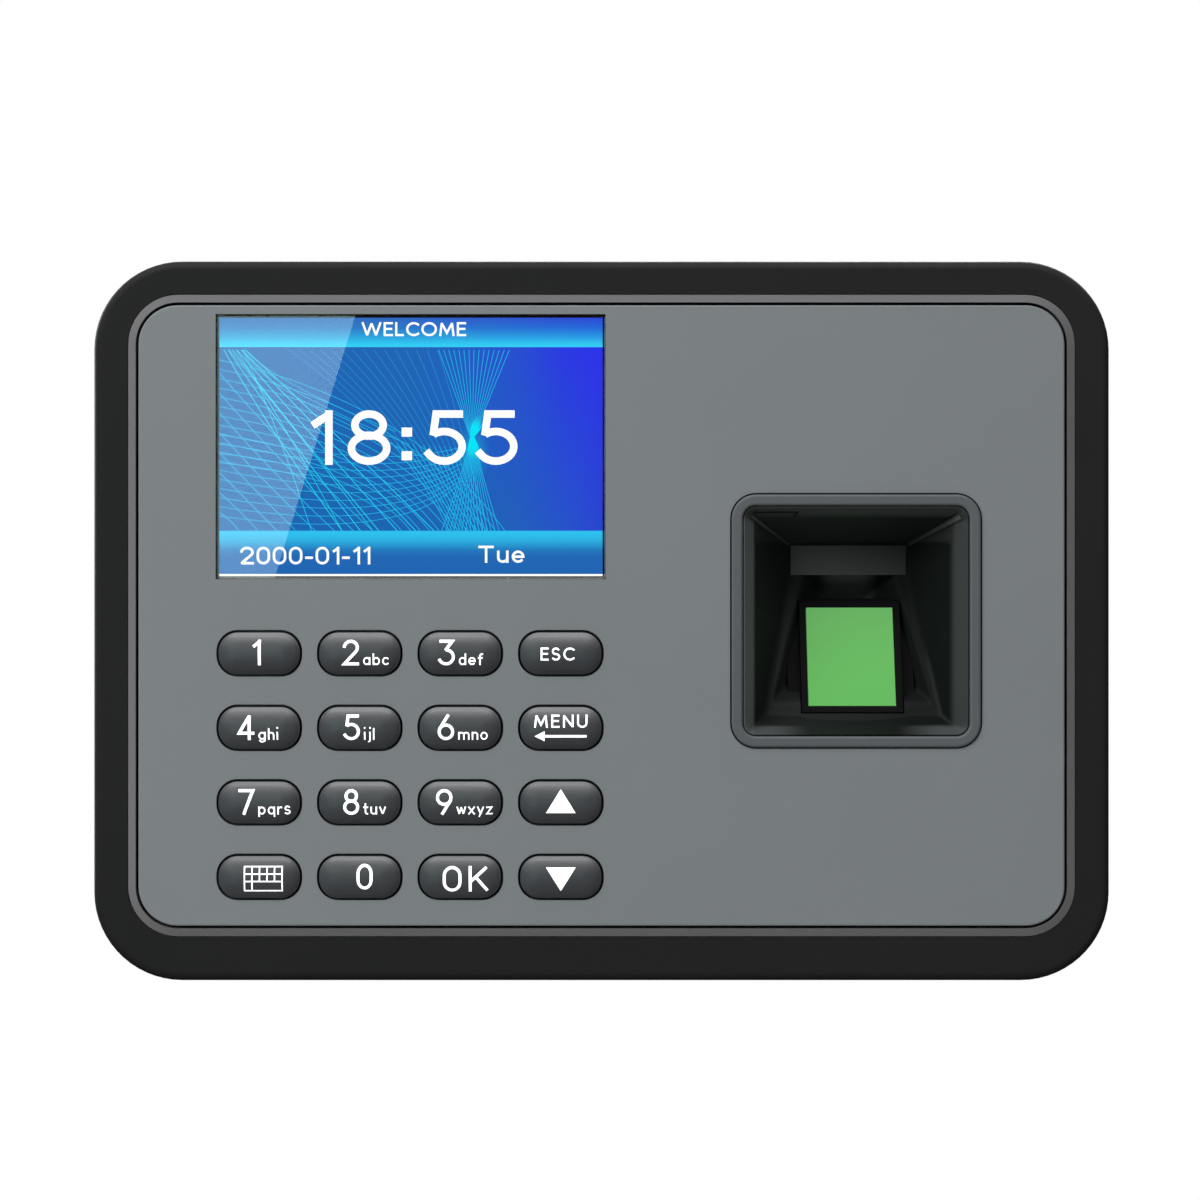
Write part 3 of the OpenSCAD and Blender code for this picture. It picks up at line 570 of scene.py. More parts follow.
def fade(value, full, none):
    """1 up to one value and 0 from another, with a soft step between them."""
    t = min(1.0, max(0.0, (none - value) / (none - full)))
    return t * t * (3 - 2 * t)


def well_walls(x, y):
    """Levels of the side wall, the upper wall, the ramp with its foot, and the lip at a place."""
    in_x, in_high, in_low = MOUTH_X - abs(x), MOUTH_Y - y, MOUTH_Y + y
    lip_level = well.front - LIP_DROP
    side_slope = (lip_level - FLOOR_LEVEL) / (MOUTH_X - LIP_IN - FLOOR_X)
    high_slope = (lip_level - FLOOR_LEVEL) / (MOUTH_Y - LIP_IN - FLOOR_TOP)
    side = lip_level - (in_x - LIP_IN) * side_slope
    high = lip_level - (in_high - LIP_IN) * high_slope
    foot_y = RAMP_FOOT - SCOOP_DEEP * max(0.0, 1 - (x / SCOOP_HALF) ** 2)
    foot_slope = (well.front - ramp_level(foot_y)) / (foot_y + MOUTH_Y)
    low = max(ramp_level(y), well.front - in_low * foot_slope)
    corner_x, corner_y = MOUTH_R - in_x, MOUTH_R - min(in_high, in_low)
    inward = min(in_x, in_high, in_low)
    if corner_x > 0 and corner_y > 0:
        inward = MOUTH_R - math.hypot(corner_x, corner_y)
    return side, high, low, inward


def well_level(x, y):
    """Level of the well's inside at a place measured from its middle."""
    side, high, low, inward = well_walls(x, y)
    walls = rounded_max(rounded_max(side, low), high)
    walls = rounded_max(walls, FLOOR_LEVEL, 0.5)
    lip = well.front - inward * LIP_DROP / LIP_IN
    corner = well.front - inward * 4.0
    return min(well.front, max(min(lip, walls), corner))


def well_painted_light_at(x, y):
    """Painted light and shade for a place in the well: 0 on the ramp to 1 on the left lip, with the
    walls between.
    """
    side, high, low, inward = well_walls(x, y)
    in_left, in_right, in_high, in_low = x + MOUTH_X, MOUTH_X - x, MOUTH_Y - y, MOUTH_Y + y
    # Painted light on the side lips: full on the left, which faces away from the key light, and
    # less towards the top
    sides = max(fade(in_left, 1.6, 2.3), 0.36 * fade(in_right, 1.8, 3.1))
    sides *= 1 - 0.6 * fade(in_high, 1.0, 3.0)
    # Painted light on the lower lip, towards its two ends
    foot = 0.60 * fade(in_low, 1.1, 1.8) * (1 - fade(abs(x), 6.0, 17.0))
    # Painted light on the upper lip
    upper = 0.42 * fade(in_high, 0.5, 3.0)
    # Painted highlight along the lower creases, where the side walls meet the ramp
    valley_low = 0.14 * fade(abs(side - low), 0.1, 1.2) * fade(y, -10.0, -3.0)
    across = max(-1.0, min(1.0, x / FLOOR_X))
    # Painted light on the walls: paler on the left, which faces away from the key light, and paler
    # towards the upper wall
    wall = 0.06 - 0.04 * across + 0.15 * fade(-high, -FLOOR_LEVEL - 2.5, -FLOOR_LEVEL)
    # Painted light on the ramp between the sensor and the floor, which lies in the upper wall's
    # shadow
    shade = 0.90 * fade(abs(x), 2.5, 6.5) * fade(-y, -2.0, 0.0) * fade(y, 9.5, 11.5)
    return max(sides, foot, upper, valley_low, wall, shade)


def well_rings():
    """Rings of points from the flange's back, over its front and the rim, down to the sensor's
    opening, and back behind the skin."""
    steps, along = 8, 40
    flange = outline(well.w, well.h, FLANGE_R, steps, along)
    neck = outline(NECK_W, NECK_H, NECK_R, steps, along)
    rim = outline(NECK_W - 0.2, NECK_H - 0.2, NECK_R - 0.1, steps, along)
    mouth = outline(2 * MOUTH_X, 2 * MOUTH_Y, MOUTH_R, steps, along)
    hole_w = prism.w + 2 * SENSOR_EDGE
    hole_h = 2 * SENSOR_HALF + 2 * SENSOR_EDGE * math.cos(SENSOR_TILT)
    hole = [(x, y + SENSOR_Y - well.y) for x, y in outline(hole_w, hole_h, 0.1, steps, along)]
    flange_front = face_panel.back - 0.2
    flange_back = flange_front - 1.7
    rings = [(flange, flange_back), (flange, flange_front), (neck, flange_front),
             (neck, well.front - 0.1), (rim, well.front)]
    rings = [[(x, y, level) for x, y in ring] for ring, level in rings]
    inner = []
    for share in shares(54):
        ring = [(a[0] + (b[0] - a[0]) * share, a[1] + (b[1] - a[1]) * share)
                for a, b in zip(mouth, hole)]
        inner.append([(x, y, well_level(x, y)) for x, y in ring])
    behind = [[(x, y, min(level - WELL_SKIN, flange_back)) for x, y, level in ring]
              for ring in inner[::-6]]
    behind.append([(x, y, flange_back) for x, y in neck])
    return rings + inner + behind


def well_with_painted_light():
    """Smooth black plastic with painted light and shade: each point's colour is mixed towards pale
    grey by a stored value, highest on the lips, the creases and the shaded floor area.
    """
    material = grained("well_black", (0.0020, 0.0028, 0.0026), 0.50, grain=0.03, mottle=0.12,
                       edge=0, spec=0.05)
    tree = material.node_tree
    shader = tree.nodes["Principled BSDF"]
    dark = shader.inputs["Base Color"].links[0].from_socket
    painted_light = node_of(tree, "ShaderNodeAttribute", attribute_name="painted_light").outputs["Fac"]
    # The colour is mixed towards pale grey by the painted light stored at each point
    fill(shader, Base_Color=mixed(tree, painted_light, dark, (0.046, 0.050, 0.050)))
    return material


rings = well_rings()
size = len(rings[0])
points = [(x + well.x, y + well.y, level) for ring in rings for x, y, level in ring]
faces = []
for k in range(len(rings)):
    here, there = k * size, (k + 1) % len(rings) * size
    faces += [(here + i, here + (i + 1) % size, there + (i + 1) % size, there + i)
              for i in range(size)]
WELL_PAINTED_LIGHT = well_with_painted_light()
liner = mesh_object("well_liner", points, faces, WELL_PAINTED_LIGHT, smooth=True)
liner.data.set_sharp_from_angle(angle=math.radians(50))
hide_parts("sensor_well")


def well_piece(piece, painted_light):
    """Puts a piece of the well's skin on the terminal with a painted light value at each of its
    points.
    """
    marks = piece.data.attributes.new("painted_light", "FLOAT", "POINT")
    marks.data.foreach_set("value", painted_light)
    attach(piece, BODY)


well_piece(liner, [well_painted_light_at(x, y) for ring in rings for x, y, level in ring])


# How far the painted crease highlights and the floor's painted light stand off the well's skin
LAID_ON = 0.45


def crease_highlight(name, start, end, half_start, half_end, strong, weak):
    """A painted highlight down a crease of the well, brightest along its middle, drawn in shares of
    its length.
    """
    ux, uy = heading(start, end)
    points, faces, painted_light = [], [], []
    for row, t in enumerate(shares(16)):
        x, y = start[0] + (end[0] - start[0]) * t, start[1] + (end[1] - start[1]) * t
        half = half_start + (half_end - half_start) * t
        for k in (-1, -0.4, 0.4, 1):
            px, py = x - uy * half * k, y + ux * half * k
            points.append((px + well.x, py + well.y, well_level(px, py) + LAID_ON))
            painted_light.append(strong + (weak - strong) * t if abs(k) < 1 else 0.10)
        if row:
            base = 4 * row
            faces += [(base + k, base + k - 4, base + k - 3, base + k + 1) for k in range(3)]
    well_piece(mesh_object(name, points, faces, WELL_PAINTED_LIGHT, smooth=True), painted_light)


# Painted highlights down the two upper creases, from near the lip's corners to the floor
CREASE_X, CREASE_Y = MOUTH_X - 1.3, MOUTH_Y - 1.6
crease_highlight("well_crease_highlight_left", (-CREASE_X, CREASE_Y), (-FLOOR_X, FLOOR_TOP), half_start=0.45,
      half_end=0.35, strong=0.75, weak=0.35)
crease_highlight("well_crease_highlight_right", (CREASE_X, CREASE_Y), (FLOOR_X, FLOOR_TOP), half_start=0.70,
      half_end=0.35, strong=0.70, weak=0.30)

# Painted light on the flat floor of the well, more on its left
floor_low = SENSOR_Y - well.y + (SENSOR_LEVEL - FLOOR_LEVEL) / math.tan(SENSOR_TILT)
floor_side = FLOOR_X - 0.3
floor_corners = [(well.x + x, well.y + y, FLOOR_LEVEL + LAID_ON)
                 for y in (floor_low, FLOOR_TOP - 0.1)
                 for x in (-floor_side, -0.3 * floor_side, floor_side)]
well_piece(mesh_object("well_floor", floor_corners, [(0, 1, 4, 3), (1, 2, 5, 4)], WELL_PAINTED_LIGHT),
           [0.78, 0.60, 0.32, 0.70, 0.56, 0.24])

# A short parting line near the left of the upper lip, with a hook at its end
parting = Sheet(lambda x, y: well_level(x - well.x, y - well.y), lift=0.05, step=0.3)
parting_x, parting_y = well.x - MOUTH_X + 1.7, well.y + MOUTH_Y - 0.85
parting.stroke([(parting_x, parting_y), (parting_x + 8.3, parting_y),
                (parting_x + 7.7, parting_y - 0.7)], 0.26)
mark = mesh_object("well_parting_line", *parting.skin(), PRINT)
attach(mark, BODY)


# -------- keys

KEY_FLANGE, FLANGE_FRONT, FLANGE_T = 0.9, 1.6, 0.8
STEM_R = 1.8
SOFT_EDGE, DOME_STEP = 0.22, 0.32
KEYS = {name: Box(name) for name in sorted(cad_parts) if name.startswith("key_")}
one_key = KEYS["key_1"]
KEY_SLIM = 0.12
KEY_W = one_key.w - 2 * KEY_FLANGE - 2 * KEY_SLIM
KEY_H = one_key.h - 2 * KEY_FLANGE - 2 * KEY_SLIM
KEY_R = 3.7 - KEY_SLIM
RIM = face_panel.front + 0.30
CROWN = one_key.front - RIM
DOME_POWER = 2.2


def key_level(x, y):
    """Level of a key's domed top at a place measured from the key's centre."""
    qx = abs(x) - (KEY_W / 2 - KEY_R)
    qy = abs(y) - (KEY_H / 2 - KEY_R)
    beyond = math.hypot(max(qx, 0), max(qy, 0)) + min(max(qx, qy), 0) - KEY_R
    inward = max(0.0, 1 + min(0.0, beyond) / (KEY_H / 2))
    return RIM + CROWN * (1 - inward ** DOME_POWER)


def key_rings():
    """Outlines of a key from its stem, over its flange and up its sides to the top of its dome."""
    def shrunk(inset):
        return outline(KEY_W - 2 * inset, KEY_H - 2 * inset, KEY_R - inset)

    flange_front = one_key.back + FLANGE_FRONT
    flange_back = flange_front - FLANGE_T
    stem = outline(2 * STEM_R, 2 * STEM_R, STEM_R)
    flange = outline(one_key.w, one_key.h, KEY_R + KEY_FLANGE)
    rings = [(stem, one_key.back), (stem, flange_back), (flange, flange_back),
             (flange, flange_front), (shrunk(0), flange_front)]
    for k in range(4):
        a = math.radians(30 * k)
        rings.append((shrunk(SOFT_EDGE * (1 - math.cos(a))),
                      RIM - SOFT_EDGE + SOFT_EDGE * math.sin(a)))
    inset = SOFT_EDGE + DOME_STEP
    while inset < KEY_H / 2 - 0.1:
        level = RIM + CROWN * (1 - (1 - inset / (KEY_H / 2)) ** DOME_POWER)
        rings.append((shrunk(inset), level))
        inset += DOME_STEP
    return rings


DIGIT_H = 4.75
DIGIT_PEN = 0.54
DIGIT_STRETCH = 1.03
SMALL_H = 2.08
SMALL_PEN = 0.27
SMALL_GAP = 0.42
SMALL_STRETCH = 1.15
BEFORE_SMALL = 0.76
WORD_H = 2.4
WORD_PEN = 0.33

LEGEND_LOW = -DIGIT_H / 2 + 0.17
# Half the width of a word, its foot, its height, its pen and the gap between its letters
WORDS = {
    "0K": (4.2, LEGEND_LOW - 0.4, DIGIT_H, DIGIT_PEN, 1.35),
    "ESC": (3.15, -1.3, WORD_H, WORD_PEN, 0.60),
    "MENU": (4.95, 0.1, WORD_H, WORD_PEN, 0.66),
}
# Digit or word, small letters, and how far the legend sits right of the key's centre
LEGENDS = {
    "key_1": ("1", "", -0.4), "key_2": ("2", "abc", 1.2), "key_3": ("3", "def", 0.2),
    "key_4": ("4", "ghi", -0.1), "key_5": ("5", "ijl", 0.0), "key_6": ("6", "mno", 0.5),
    "key_7": ("7", "pqrs", 1.1), "key_8": ("8", "tuv", 1.0), "key_9": ("9", "wxyz", 0.8),
    "key_0": ("0", "", 1.0), "key_ok": ("0K", "", 1.0), "key_esc": ("ESC", "", -0.6),
    "key_menu": ("MENU", "", 0), "key_up": ("", "", 0), "key_down": ("", "", 0),
    "key_input": ("", "", 0.9),
}


def legend(sheet, key):
    word, small, aside = LEGENDS[key]
    if len(word) == 1:
        wide = glyph_width(word) * (DIGIT_H - DIGIT_PEN) * DIGIT_STRETCH + DIGIT_PEN
        tail = sum(glyph_width(c) for c in small) * (SMALL_H - SMALL_PEN) * SMALL_STRETCH
        tail += (SMALL_PEN + SMALL_GAP) * len(small) - SMALL_GAP
        whole = wide + BEFORE_SMALL + tail if small else wide
        left = aside - whole / 2
        write(sheet, word, left, left + wide, LEGEND_LOW, LEGEND_LOW + DIGIT_H, DIGIT_PEN, 0)
        if small:
            foot = LEGEND_LOW + 0.05
            write(sheet, small, left + whole - tail, left + whole, foot, foot + SMALL_H,
                  SMALL_PEN, SMALL_GAP)
    elif word:
        half, foot, tall, pen, gap = WORDS[word]
        write(sheet, word, aside - half, aside + half, foot, foot + tall, pen, gap)
    if key == "key_menu":
        arrow(sheet, -4.9, 4.8, -1.5)
    if key == "key_input":
        keyboard_sign(sheet, aside)
    if key in ("key_up", "key_down"):
        triangle(sheet, 1 if key == "key_up" else -1)


def arrow(sheet, left, right, y):
    """A shaft that ends in a head of slim bars, each shorter than the one before."""
    head, half, bars = 1.9, 0.95, 12
    sheet.ribbon([(left + head, y), (right, y)], 0.46)
    for k in range(bars):
        near, far = k / bars, (k + 1) / bars
        tips = [(left + head * share, y + way * half * share)
                for share, way in ((near, -1), (far, -1), (far, 0), (far, 1), (near, 1), (near, 0))]
        corners = [sheet.add(*tip) for tip in tips]
        sheet.faces.append((corners[0], corners[1], corners[2], corners[5]))
        sheet.faces.append((corners[5], corners[2], corners[3], corners[4]))


def triangle(sheet, way):
    base, tall, n = 5.5, 4.4, 14
    rows = []
    for k in range(n + 1):
        share = k / n if way > 0 else 1 - k / n
        half = base / 2 * (1 - share) + 0.01
        rows.append((way * 0.3 - tall / 2 + tall * k / n, -half, half))
    sheet.row_patch(rows)


def keyboard_sign(sheet, x):
    wide, tall, pen, cell = 7.0, 4.5, 0.24, 1.38
    left, right = x - wide / 2, x + wide / 2
    low, high = -tall / 2 - 0.2, tall / 2 - 0.2
    for y in (low, high - 2 * cell, high - cell, high):
        sheet.ribbon([(left - pen / 2, y), (right + pen / 2, y)], pen)
    for k in range(6):
        foot = low if k in (0, 1, 5) else high - 2 * cell
        sheet.ribbon([(left + wide * k / 5, foot), (left + wide * k / 5, high)], pen)


cap_points, cap_faces = stack(key_rings())
for key, box in KEYS.items():
    points = [(x + box.x, y + box.y, level) for x, y, level in cap_points]
    cap = mesh_object("cap_" + key, points, cap_faces, KEYCAP, smooth=True)
    cap.data.set_sharp_from_angle(angle=math.radians(50))
    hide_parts(key)
    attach(cap, key)
    sheet = Sheet(key_level, lift=0.015, step=0.3)
    legend(sheet, key)
    points, faces = sheet.skin()
    points = [(x + box.x, y + box.y, min(level, box.front)) for x, y, level in points]
    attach(mesh_object("legend_" + key, points, faces, INK), key)


# The silicone mat: a sheet with an opening for each dome and screw post, and a dome under each key
MAT_T, MAT_R, DOME_WALL = 0.8, 3.0, 0.8
DOME_R, DOME_TOP_R, DOME_IN_R = 3.76, 2.6, 3.4
POST_R = 2.5
mat_box = Box("keypad_mat")


def ring_at(x, y, r, steps=28):
    turns = [2 * math.pi * k / steps for k in range(steps)]
    return [(x + r * math.cos(a), y + r * math.sin(a)) for a in turns]


columns = sorted({round(box.x, 2) for box in KEYS.values()})
rows_up = sorted({round(box.y, 2) for box in KEYS.values()})
posts = [((columns[i] + columns[i + 1]) / 2, (rows_up[j] + rows_up[j + 1]) / 2)
         for i in (0, 2) for j in (0, 2)]
openings = [ring_at(box.x, box.y, DOME_R) for box in KEYS.values()]
openings += [ring_at(x, y, POST_R) for x, y in posts]
mat_outline = [(x + mat_box.x, y + mat_box.y) for x, y in outline(mat_box.w, mat_box.h, MAT_R, 6)]
mat = mesh_object("mat_sheet", *pierced(mat_outline, openings, mat_box.back, mat_box.back + MAT_T),
                  SILICONE)
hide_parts("keypad_mat")
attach(mat, BODY)
dome_steps = [(DOME_TOP_R - DOME_WALL, mat_box.front - DOME_WALL), (DOME_IN_R, mat_box.back),
              (DOME_R, mat_box.back), (DOME_R, mat_box.back + MAT_T), (DOME_TOP_R, mat_box.front)]
for key, box in KEYS.items():
    points, faces = stack([(ring_at(box.x, box.y, r), level) for r, level in dome_steps])
    dome = mesh_object("dome_" + key, points, faces, SILICONE)
    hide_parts("keypad_mat")
    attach(dome, BODY)
    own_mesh(dome)


# -------- the lit picture

win = Box("display_window")
EDGE = 0.45
# Strength of the picture's light
GLOW = 1.09
pic_left, pic_right = win.left + EDGE, win.right - EDGE
pic_low, pic_high = win.low + EDGE, win.high - EDGE
pic_w, pic_h = pic_right - pic_left, pic_high - pic_low
picture_level = win.back - 0.12
HEADER_H = 5.5
FOOTER_H = 8.5
EDGE_LINE = 0.4
field_low, field_high = pic_low + FOOTER_H, pic_high - HEADER_H


PANE_EDGE = 0.12
PANE_R = 0.5
pane_rings = [(outline(win.w - 2 * inset, win.h - 2 * inset, PANE_R - inset, steps=6), level)
              for inset, level in ((0, win.back), (0, win.front - PANE_EDGE),
                                   (PANE_EDGE, win.front))]
points, faces = stack(pane_rings)
clear, _, shader = new_material("window_clear")
fill(shader, Base_Color=(1, 1, 1, 1), Roughness=0, IOR=1.47, Transmission_Weight=1)
pane = mesh_object("window_pane", [(x + win.x, y + win.y, level) for x, y, level in points],
                   faces, clear)
# The four sides are painted black, and the faces are clear
pane.data.materials.append(PRINT)
for side in pane.data.polygons[1:1 + len(pane_rings[0][0])]:
    side.material_index = 1
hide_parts("display_window")
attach(pane, BODY)


def axis_of(tree, axis, space="Object"):
    """One coordinate of the place that is shaded."""
    parts = node_of(tree, "ShaderNodeSeparateXYZ")
    fill(parts, Vector=node_of(tree, "ShaderNodeTexCoord").outputs[space])
    return parts.outputs[axis]


def coordinate(tree, axis, low, high):
    """0 to 1 between two places of the front view: across it along X, or up it along Z."""
    return mapped(tree, axis_of(tree, axis), low * MM, high * MM)


def ramp_of(tree, source, stops):
    """A colour ramp through (place, colour) stops."""
    ramp = node_of(tree, "ShaderNodeValToRGB")
    marks = ramp.color_ramp.elements
    while len(marks) < len(stops):
        marks.new(0.5)
    for mark, (place, colour) in zip(marks, stops):
        mark.position = place
        mark.color = (*linear(*colour), 1)
    fill(ramp, Fac=source)
    return ramp.outputs["Color"]


def graded(name, build):
    material = lit(name, (0, 0, 0), GLOW)
    tree = material.node_tree
    fill(tree.nodes["Principled BSDF"], Emission_Color=build(tree))
    return material


def field_colour(tree):
    across = coordinate(tree, "X", pic_left, pic_right)
    upper = ramp_of(tree, across, [(0, (31, 102, 176)), (0.50, (31, 100, 180)),
                                   (0.62, (30, 96, 192)), (0.78, (39, 76, 208)),
                                   (0.9, (41, 55, 224)), (1, (44, 48, 232))])
    lower = ramp_of(tree, across, [(0, (28, 101, 176)), (0.62, (28, 100, 176)),
                                   (0.78, (34, 94, 186)), (0.92, (39, 80, 202)),
                                   (1, (40, 68, 206))])
    up = coordinate(tree, "Z", field_low, field_high)
    return mixed(tree, up, lower, upper)


def header_colour(tree):
    up = coordinate(tree, "Z", field_high, pic_high)
    left = ramp_of(tree, up, [(0, (52, 210, 246)), (0.12, (46, 198, 240)),
                              (0.35, (44, 164, 218)), (0.65, (44, 124, 194)),
                              (1, (46, 108, 182))])
    right = ramp_of(tree, up, [(0, (52, 206, 244)), (0.12, (48, 194, 238)),
                               (0.35, (40, 150, 228)), (0.65, (34, 104, 216)),
                               (1, (44, 66, 214))])
    across = coordinate(tree, "X", pic_left + pic_w * 0.3, pic_right)
    return mixed(tree, across, left, right)


def footer_colour(tree):
    up = coordinate(tree, "Z", pic_low, field_low)
    return ramp_of(tree, up, [(0, (32, 100, 178)), (0.45, (34, 103, 179)),
                              (0.58, (35, 122, 190)), (0.78, (44, 172, 224)),
                              (0.95, (45, 194, 238)), (1, (50, 182, 234))])


def screen_piece(name, points, faces, material):
    """A piece of the lit picture or of the print round it."""
    piece = mesh_object("screen_" + name, points, faces, material)
    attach(piece, BODY)


def patch(name, x0, x1, y0, y1, material):
    points = [(x, y, picture_level) for x, y in ((x0, y0), (x1, y0), (x1, y1), (x0, y1))]
    screen_piece(name, points, [(0, 1, 2, 3)], material)


def lifted(lift):
    """A sheet that lies a little in front of the picture."""
    return Sheet(lambda x, y: picture_level + lift)


patch("field", pic_left, pic_right, field_low, field_high, graded("lit_field", field_colour))
patch("header", pic_left, pic_right, field_high, pic_high, graded("lit_header", header_colour))
patch("footer", pic_left, pic_right, pic_low + EDGE_LINE, field_low,
      graded("lit_footer", footer_colour))
WHITE = lit("lit_white", (1, 1, 1), 1.15)
patch("edge_line", pic_left, pic_right, pic_low, pic_low + EDGE_LINE, WHITE)

# The words, each with its left and right end, foot, top, pen and gap
text = lifted(0.05)
middle = (pic_left + pic_right) / 2
write(text, "WELCOME", middle - 9.2, middle + 10.3, pic_high - 3.45, pic_high - 0.83, 0.40, 0.42)
time_low, time_high = field_low + 12.3, field_low + 22.5
write(text, "18", pic_left + 16.7, pic_left + 31.95, time_low, time_high, 1.40, 2.8)
write(text, ":", pic_left + 34.05, pic_left + 36.0, time_low, time_high, 1.70, 0)
write(text, "55", pic_left + 38.6, pic_left + 55.7, time_low, time_high, 1.40, 2.2)
write(text, "2000-01-11", pic_left + 3.9, pic_left + 28.2, pic_low + 2.2, pic_low + 5.5, 0.46, 0.50)
write(text, "Tue", pic_left + 48.4, pic_left + 57.0, pic_low + 2.5, pic_low + 5.7, 0.46, 0.60)
screen_piece("text", *text.skin(), WHITE)


field_h = field_high - field_low


def field_x(share):
    return pic_left + pic_w * share


def field_y(share):
    return field_high - field_h * share


def swept(start, pull, end, n=22):
    """A curved line in shares of the field, drawn from its start to its end, pulled to one side."""
    out = []
    for k in range(n + 1):
        t = k / n
        a, b, c = (1 - t) ** 2, 2 * t * (1 - t), t * t
        out.append((field_x(a * start[0] + b * pull[0] + c * end[0]),
                    field_y(a * start[1] + b * pull[1] + c * end[1])))
    return out


def family(sheet, count, width, *ends):
    """Swept lines of one kind. Their start, pull and end are each given as x and y for the first
    line, and by how much those change up to the last one."""
    for u in shares(count):
        sheet.ribbon(swept(*[(x + dx * u, y + dy * u) for x, y, dx, dy in ends]), width)


WAIST = (0.660, 0.49)
TOP_IN = 0.015
bold, mild, faint = lifted(0.02), lifted(0.015), lifted(0.01)
# A fan of bright lines from the top left corner, and finer lines that cross it
family(bold, 6, 0.15, (0.012, TOP_IN, 0.056, 0), (0.12, 0.42, 0.16, 0), (0.32, 1, 0.24, 0))
family(bold, 3, 0.11, (0.062, TOP_IN, -0.036, 0), (0.15, 0.42, 0.04, 0), (0.24, 1, 0.16, 0))
# The upper edge of the shallow lines
family(mild, 3, 0.12, (0.068, TOP_IN, -0.008, 0), (0.14, 0.19, -0.03, 0.05),
       (0.46, 0.46, 0.07, 0.14))
# Lines that run level from the left edge and rise to the waist
family(mild, 10, 0.12, (0, 0.47, 0, 0.45), (0.42, 0.68, 0.04, 0.38), (0.638, 0.54, -0.02, 0.22))
# Straight lines from the left edge to the foot
family(mild, 8, 0.15, (0, 0.14, 0, 0.76), (0.17, 0.56, -0.13, 0.40), (0.40, 1, -0.35, 0))
# Shallow lines from the left edge that bend down to the foot
family(mild, 12, 0.13, (0, 0.07, 0, 0.56), (0.50, 0.30, -0.14, 0.40), (0.745, 1, -0.27, 0))
# Lines from the top edge that sweep under the waist, brighter as they reach the foot
for u in shares(15):
    line = swept((0.18 + 0.39 * u, TOP_IN), (0.47 + 0.17 * u, 0.44 + 0.06 * u),
                 (0.60 + 0.10 * u, 1))
    faint.ribbon(line[:13], 0.13)
    mild.ribbon(line[12:], 0.14)
# The sheaf that narrows to the waist and opens again
for u in shares(15):
    top, foot = 0.572 + 0.185 * u, 0.580 + 0.150 * u
    near = WAIST[0] + 0.012 * (u - 0.5)
    mild.ribbon(swept((top, TOP_IN), (near + (top - near) * 0.36, 0.30), (near, WAIST[1])), 0.13)
    mild.ribbon(swept((near, WAIST[1]), (near + (foot - near) * 0.20, 0.66), (foot, 1)), 0.13)
for label, lines, colour in (("bold", bold, (34, 208, 240)), ("mild", mild, (36, 178, 228)),
                             ("faint", faint, (36, 136, 206))):
    screen_piece("lines_" + label, *lines.skin(), lit("lit_line_" + label, linear(*colour), GLOW))


def faded(name, colour, strength, centre, half_w, half_h, full):
    """A lit surface that thins out to the edge of an oval, from a share of the way out."""
    material = lit(name, colour, GLOW)
    tree = material.node_tree
    scale = (1 / (half_w * MM), 0, 1 / (half_h * MM))
    reach = distance_from(tree, spot(*centre, picture_level), scale)
    thin = mapped(tree, reach, full, 1.0, strength, 0.0, "SMOOTHSTEP")
    fill(tree.nodes["Principled BSDF"], Alpha=thin)
    return material


# Where the sheaf is narrowest it shines: two slim flames, and a haze under them
waist_x, waist_y = field_x(WAIST[0]), field_y(WAIST[1])
FLAME = 4.6
shine = lifted(0.03)
for way, lean in ((1, 0.42), (-1, 0.10)):
    rows = []
    for t in shares(13):
        half = 0.30 + 0.95 * math.sin(math.pi * min(1.0, t * 0.8)) * (1 - t * 0.30)
        rows.append((waist_y + way * FLAME * t, waist_x + lean * t * FLAME - half,
                     waist_x + lean * t * FLAME + half))
    shine.row_patch(rows if way > 0 else rows[::-1])
haze = lifted(0.025)
HAZE_W, HAZE_H = 3.6, 6.5
haze_y = waist_y - 3.0
rows = []
for k in range(25):
    t = k / 12 - 1
    half = HAZE_W * math.sqrt(max(0.0, 1 - t * t)) + 0.01
    rows.append((haze_y + HAZE_H * t, waist_x - half, waist_x + half))
haze.row_patch(rows)
screen_piece("waist_glow", *shine.skin(),
             faded("lit_waist", linear(6, 228, 246), 1.0, (waist_x, waist_y), 3.4, FLAME, 0.35))
screen_piece("waist_haze", *haze.skin(),
             faded("lit_haze", linear(14, 190, 232), 0.45, (waist_x, haze_y), HAZE_W, HAZE_H, 0.0))

# The dark print round the picture, seen through the window
border_points = [(x, y, picture_level + 0.06) for x, y in
                 ((win.left, win.low), (win.right, win.low), (win.right, win.high),
                  (win.left, win.high), (pic_left, pic_low), (pic_right, pic_low),
                  (pic_right, pic_high), (pic_left, pic_high))]
border_faces = [(i, (i + 1) % 4, (i + 1) % 4 + 4, i + 4) for i in range(4)]
screen_piece("border", border_points, border_faces, PRINT)


# -------- studio

def soft_light(name, place, size, power):
    """A rectangular light that faces the terminal."""
    light = bpy.data.lights.new(name, "AREA")
    light.shape = "RECTANGLE"
    light.size, light.size_y = size
    light.energy = power
    lamp = placed(name, light)
    lamp.location = place
    lamp.rotation_euler = (-Vector(place)).to_track_quat("-Z", "Y").to_euler()
    return lamp


for lamp in (soft_light("key_light", (-0.78, -0.78, 0.50), (0.8, 0.6), 28),
             soft_light("fill_light", (0.75, -0.95, 0.40), (0.7, 0.7), 4)):
    lamp.visible_glossy = False
soft_light("top_light", (-0.10, -0.62, 0.98), (1.5, 0.55), 13)
soft_light("rear_light", (0.35, 1.05, 0.75), (0.9, 0.7), 20)
soft_light("rear_side_light", (-0.95, 0.60, 0.25), (0.6, 0.6), 8)

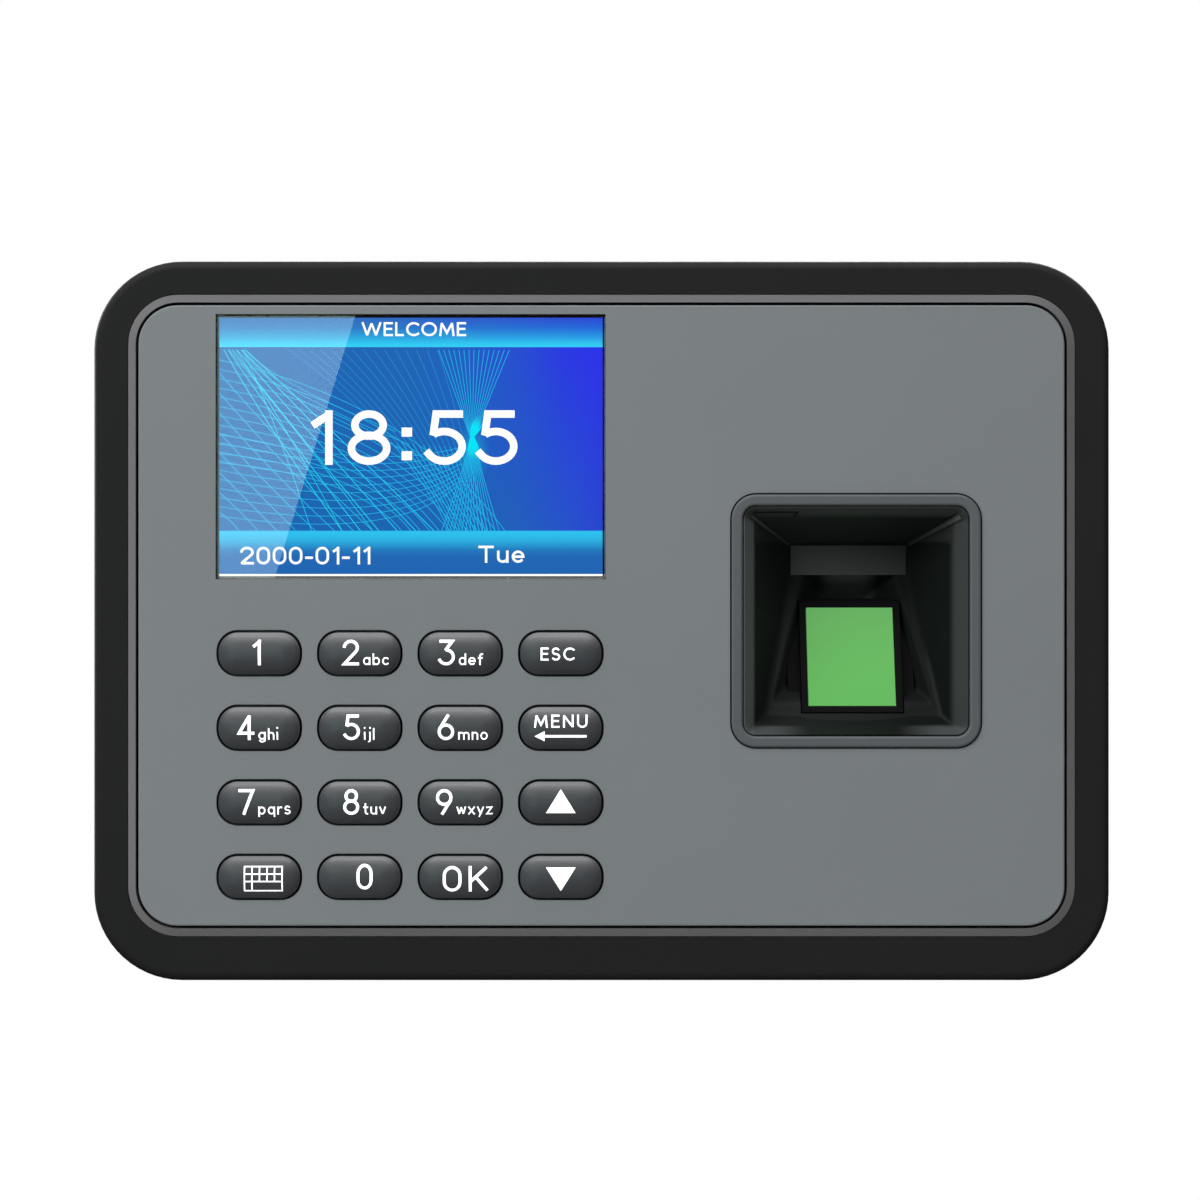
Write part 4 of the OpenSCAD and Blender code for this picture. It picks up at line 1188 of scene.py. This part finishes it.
# White behind the terminal, and a dimmer sky, dark at the horizon, in its light and reflections
world = bpy.data.worlds.new("studio")
bpy.context.scene.world = world
world.use_nodes = True
tree = world.node_tree
tree.nodes.clear()
up = axis_of(tree, "Z", "Generated")
sky = node_of(tree, "ShaderNodeBackground")
fill(sky, Color=mapped(tree, up, 0.03, 0.75, 0.012, 0.95, "SMOOTHSTEP"))
white = node_of(tree, "ShaderNodeBackground")
fill(white, Color=(1, 1, 1, 1))
either = node_of(tree, "ShaderNodeMixShader")
out = node_of(tree, "ShaderNodeOutputWorld")
fill(either, Fac=node_of(tree, "ShaderNodeLightPath").outputs["Is Camera Ray"])
tree.links.new(sky.outputs["Background"], either.inputs[1])
tree.links.new(white.outputs["Background"], either.inputs[2])
fill(out, Surface=either.outputs["Shader"])

# Plain pale floor, well below the terminal, that fades out at its edge
FLOOR_R, FLOOR_Y, FLOOR_STEPS = 750, -300, 96
pale, tree, shader = new_material("floor_pale")
reach = distance_from(tree, (0, 0, 0), (1, 1, 0))
fill(shader, Base_Color=(0.62, 0.62, 0.62, 1), Roughness=0.8,
     Alpha=mapped(tree, reach, 0.35, 0.74, 1.0, 0.0, "SMOOTHSTEP"))
floor = mesh_object("floor", [(x, FLOOR_Y, -y) for x, y in ring_at(0, 0, FLOOR_R, FLOOR_STEPS)],
                    [tuple(range(FLOOR_STEPS))], pale)
floor.visible_glossy = False

# A slanted card behind the camera: it shows only as the pale band across the window
card = mesh_object("glare_card", [(-600, -50, 1000), (-194, -50, 1000), (-114, 210, 1000),
                                  (-600, 210, 1000)], [(0, 1, 2, 3)],
                   lit("card_white", (0.66, 1.0, 0.90), 2.2))
card.visible_camera = False
card.visible_diffuse = False
card.visible_shadow = False

camera_data = bpy.data.cameras.new("camera")
camera_data.lens = 83.65
camera_data.sensor_width = 36.0
camera_data.clip_start = 0.01
camera = placed("camera", camera_data)
camera.location = (-0.00028, -0.554, 0.00390)
camera.rotation_euler = (math.radians(90), 0, 0)
bpy.context.scene.camera = camera
view = bpy.context.scene.view_settings
view.view_transform = "Standard"
view.look = "None"
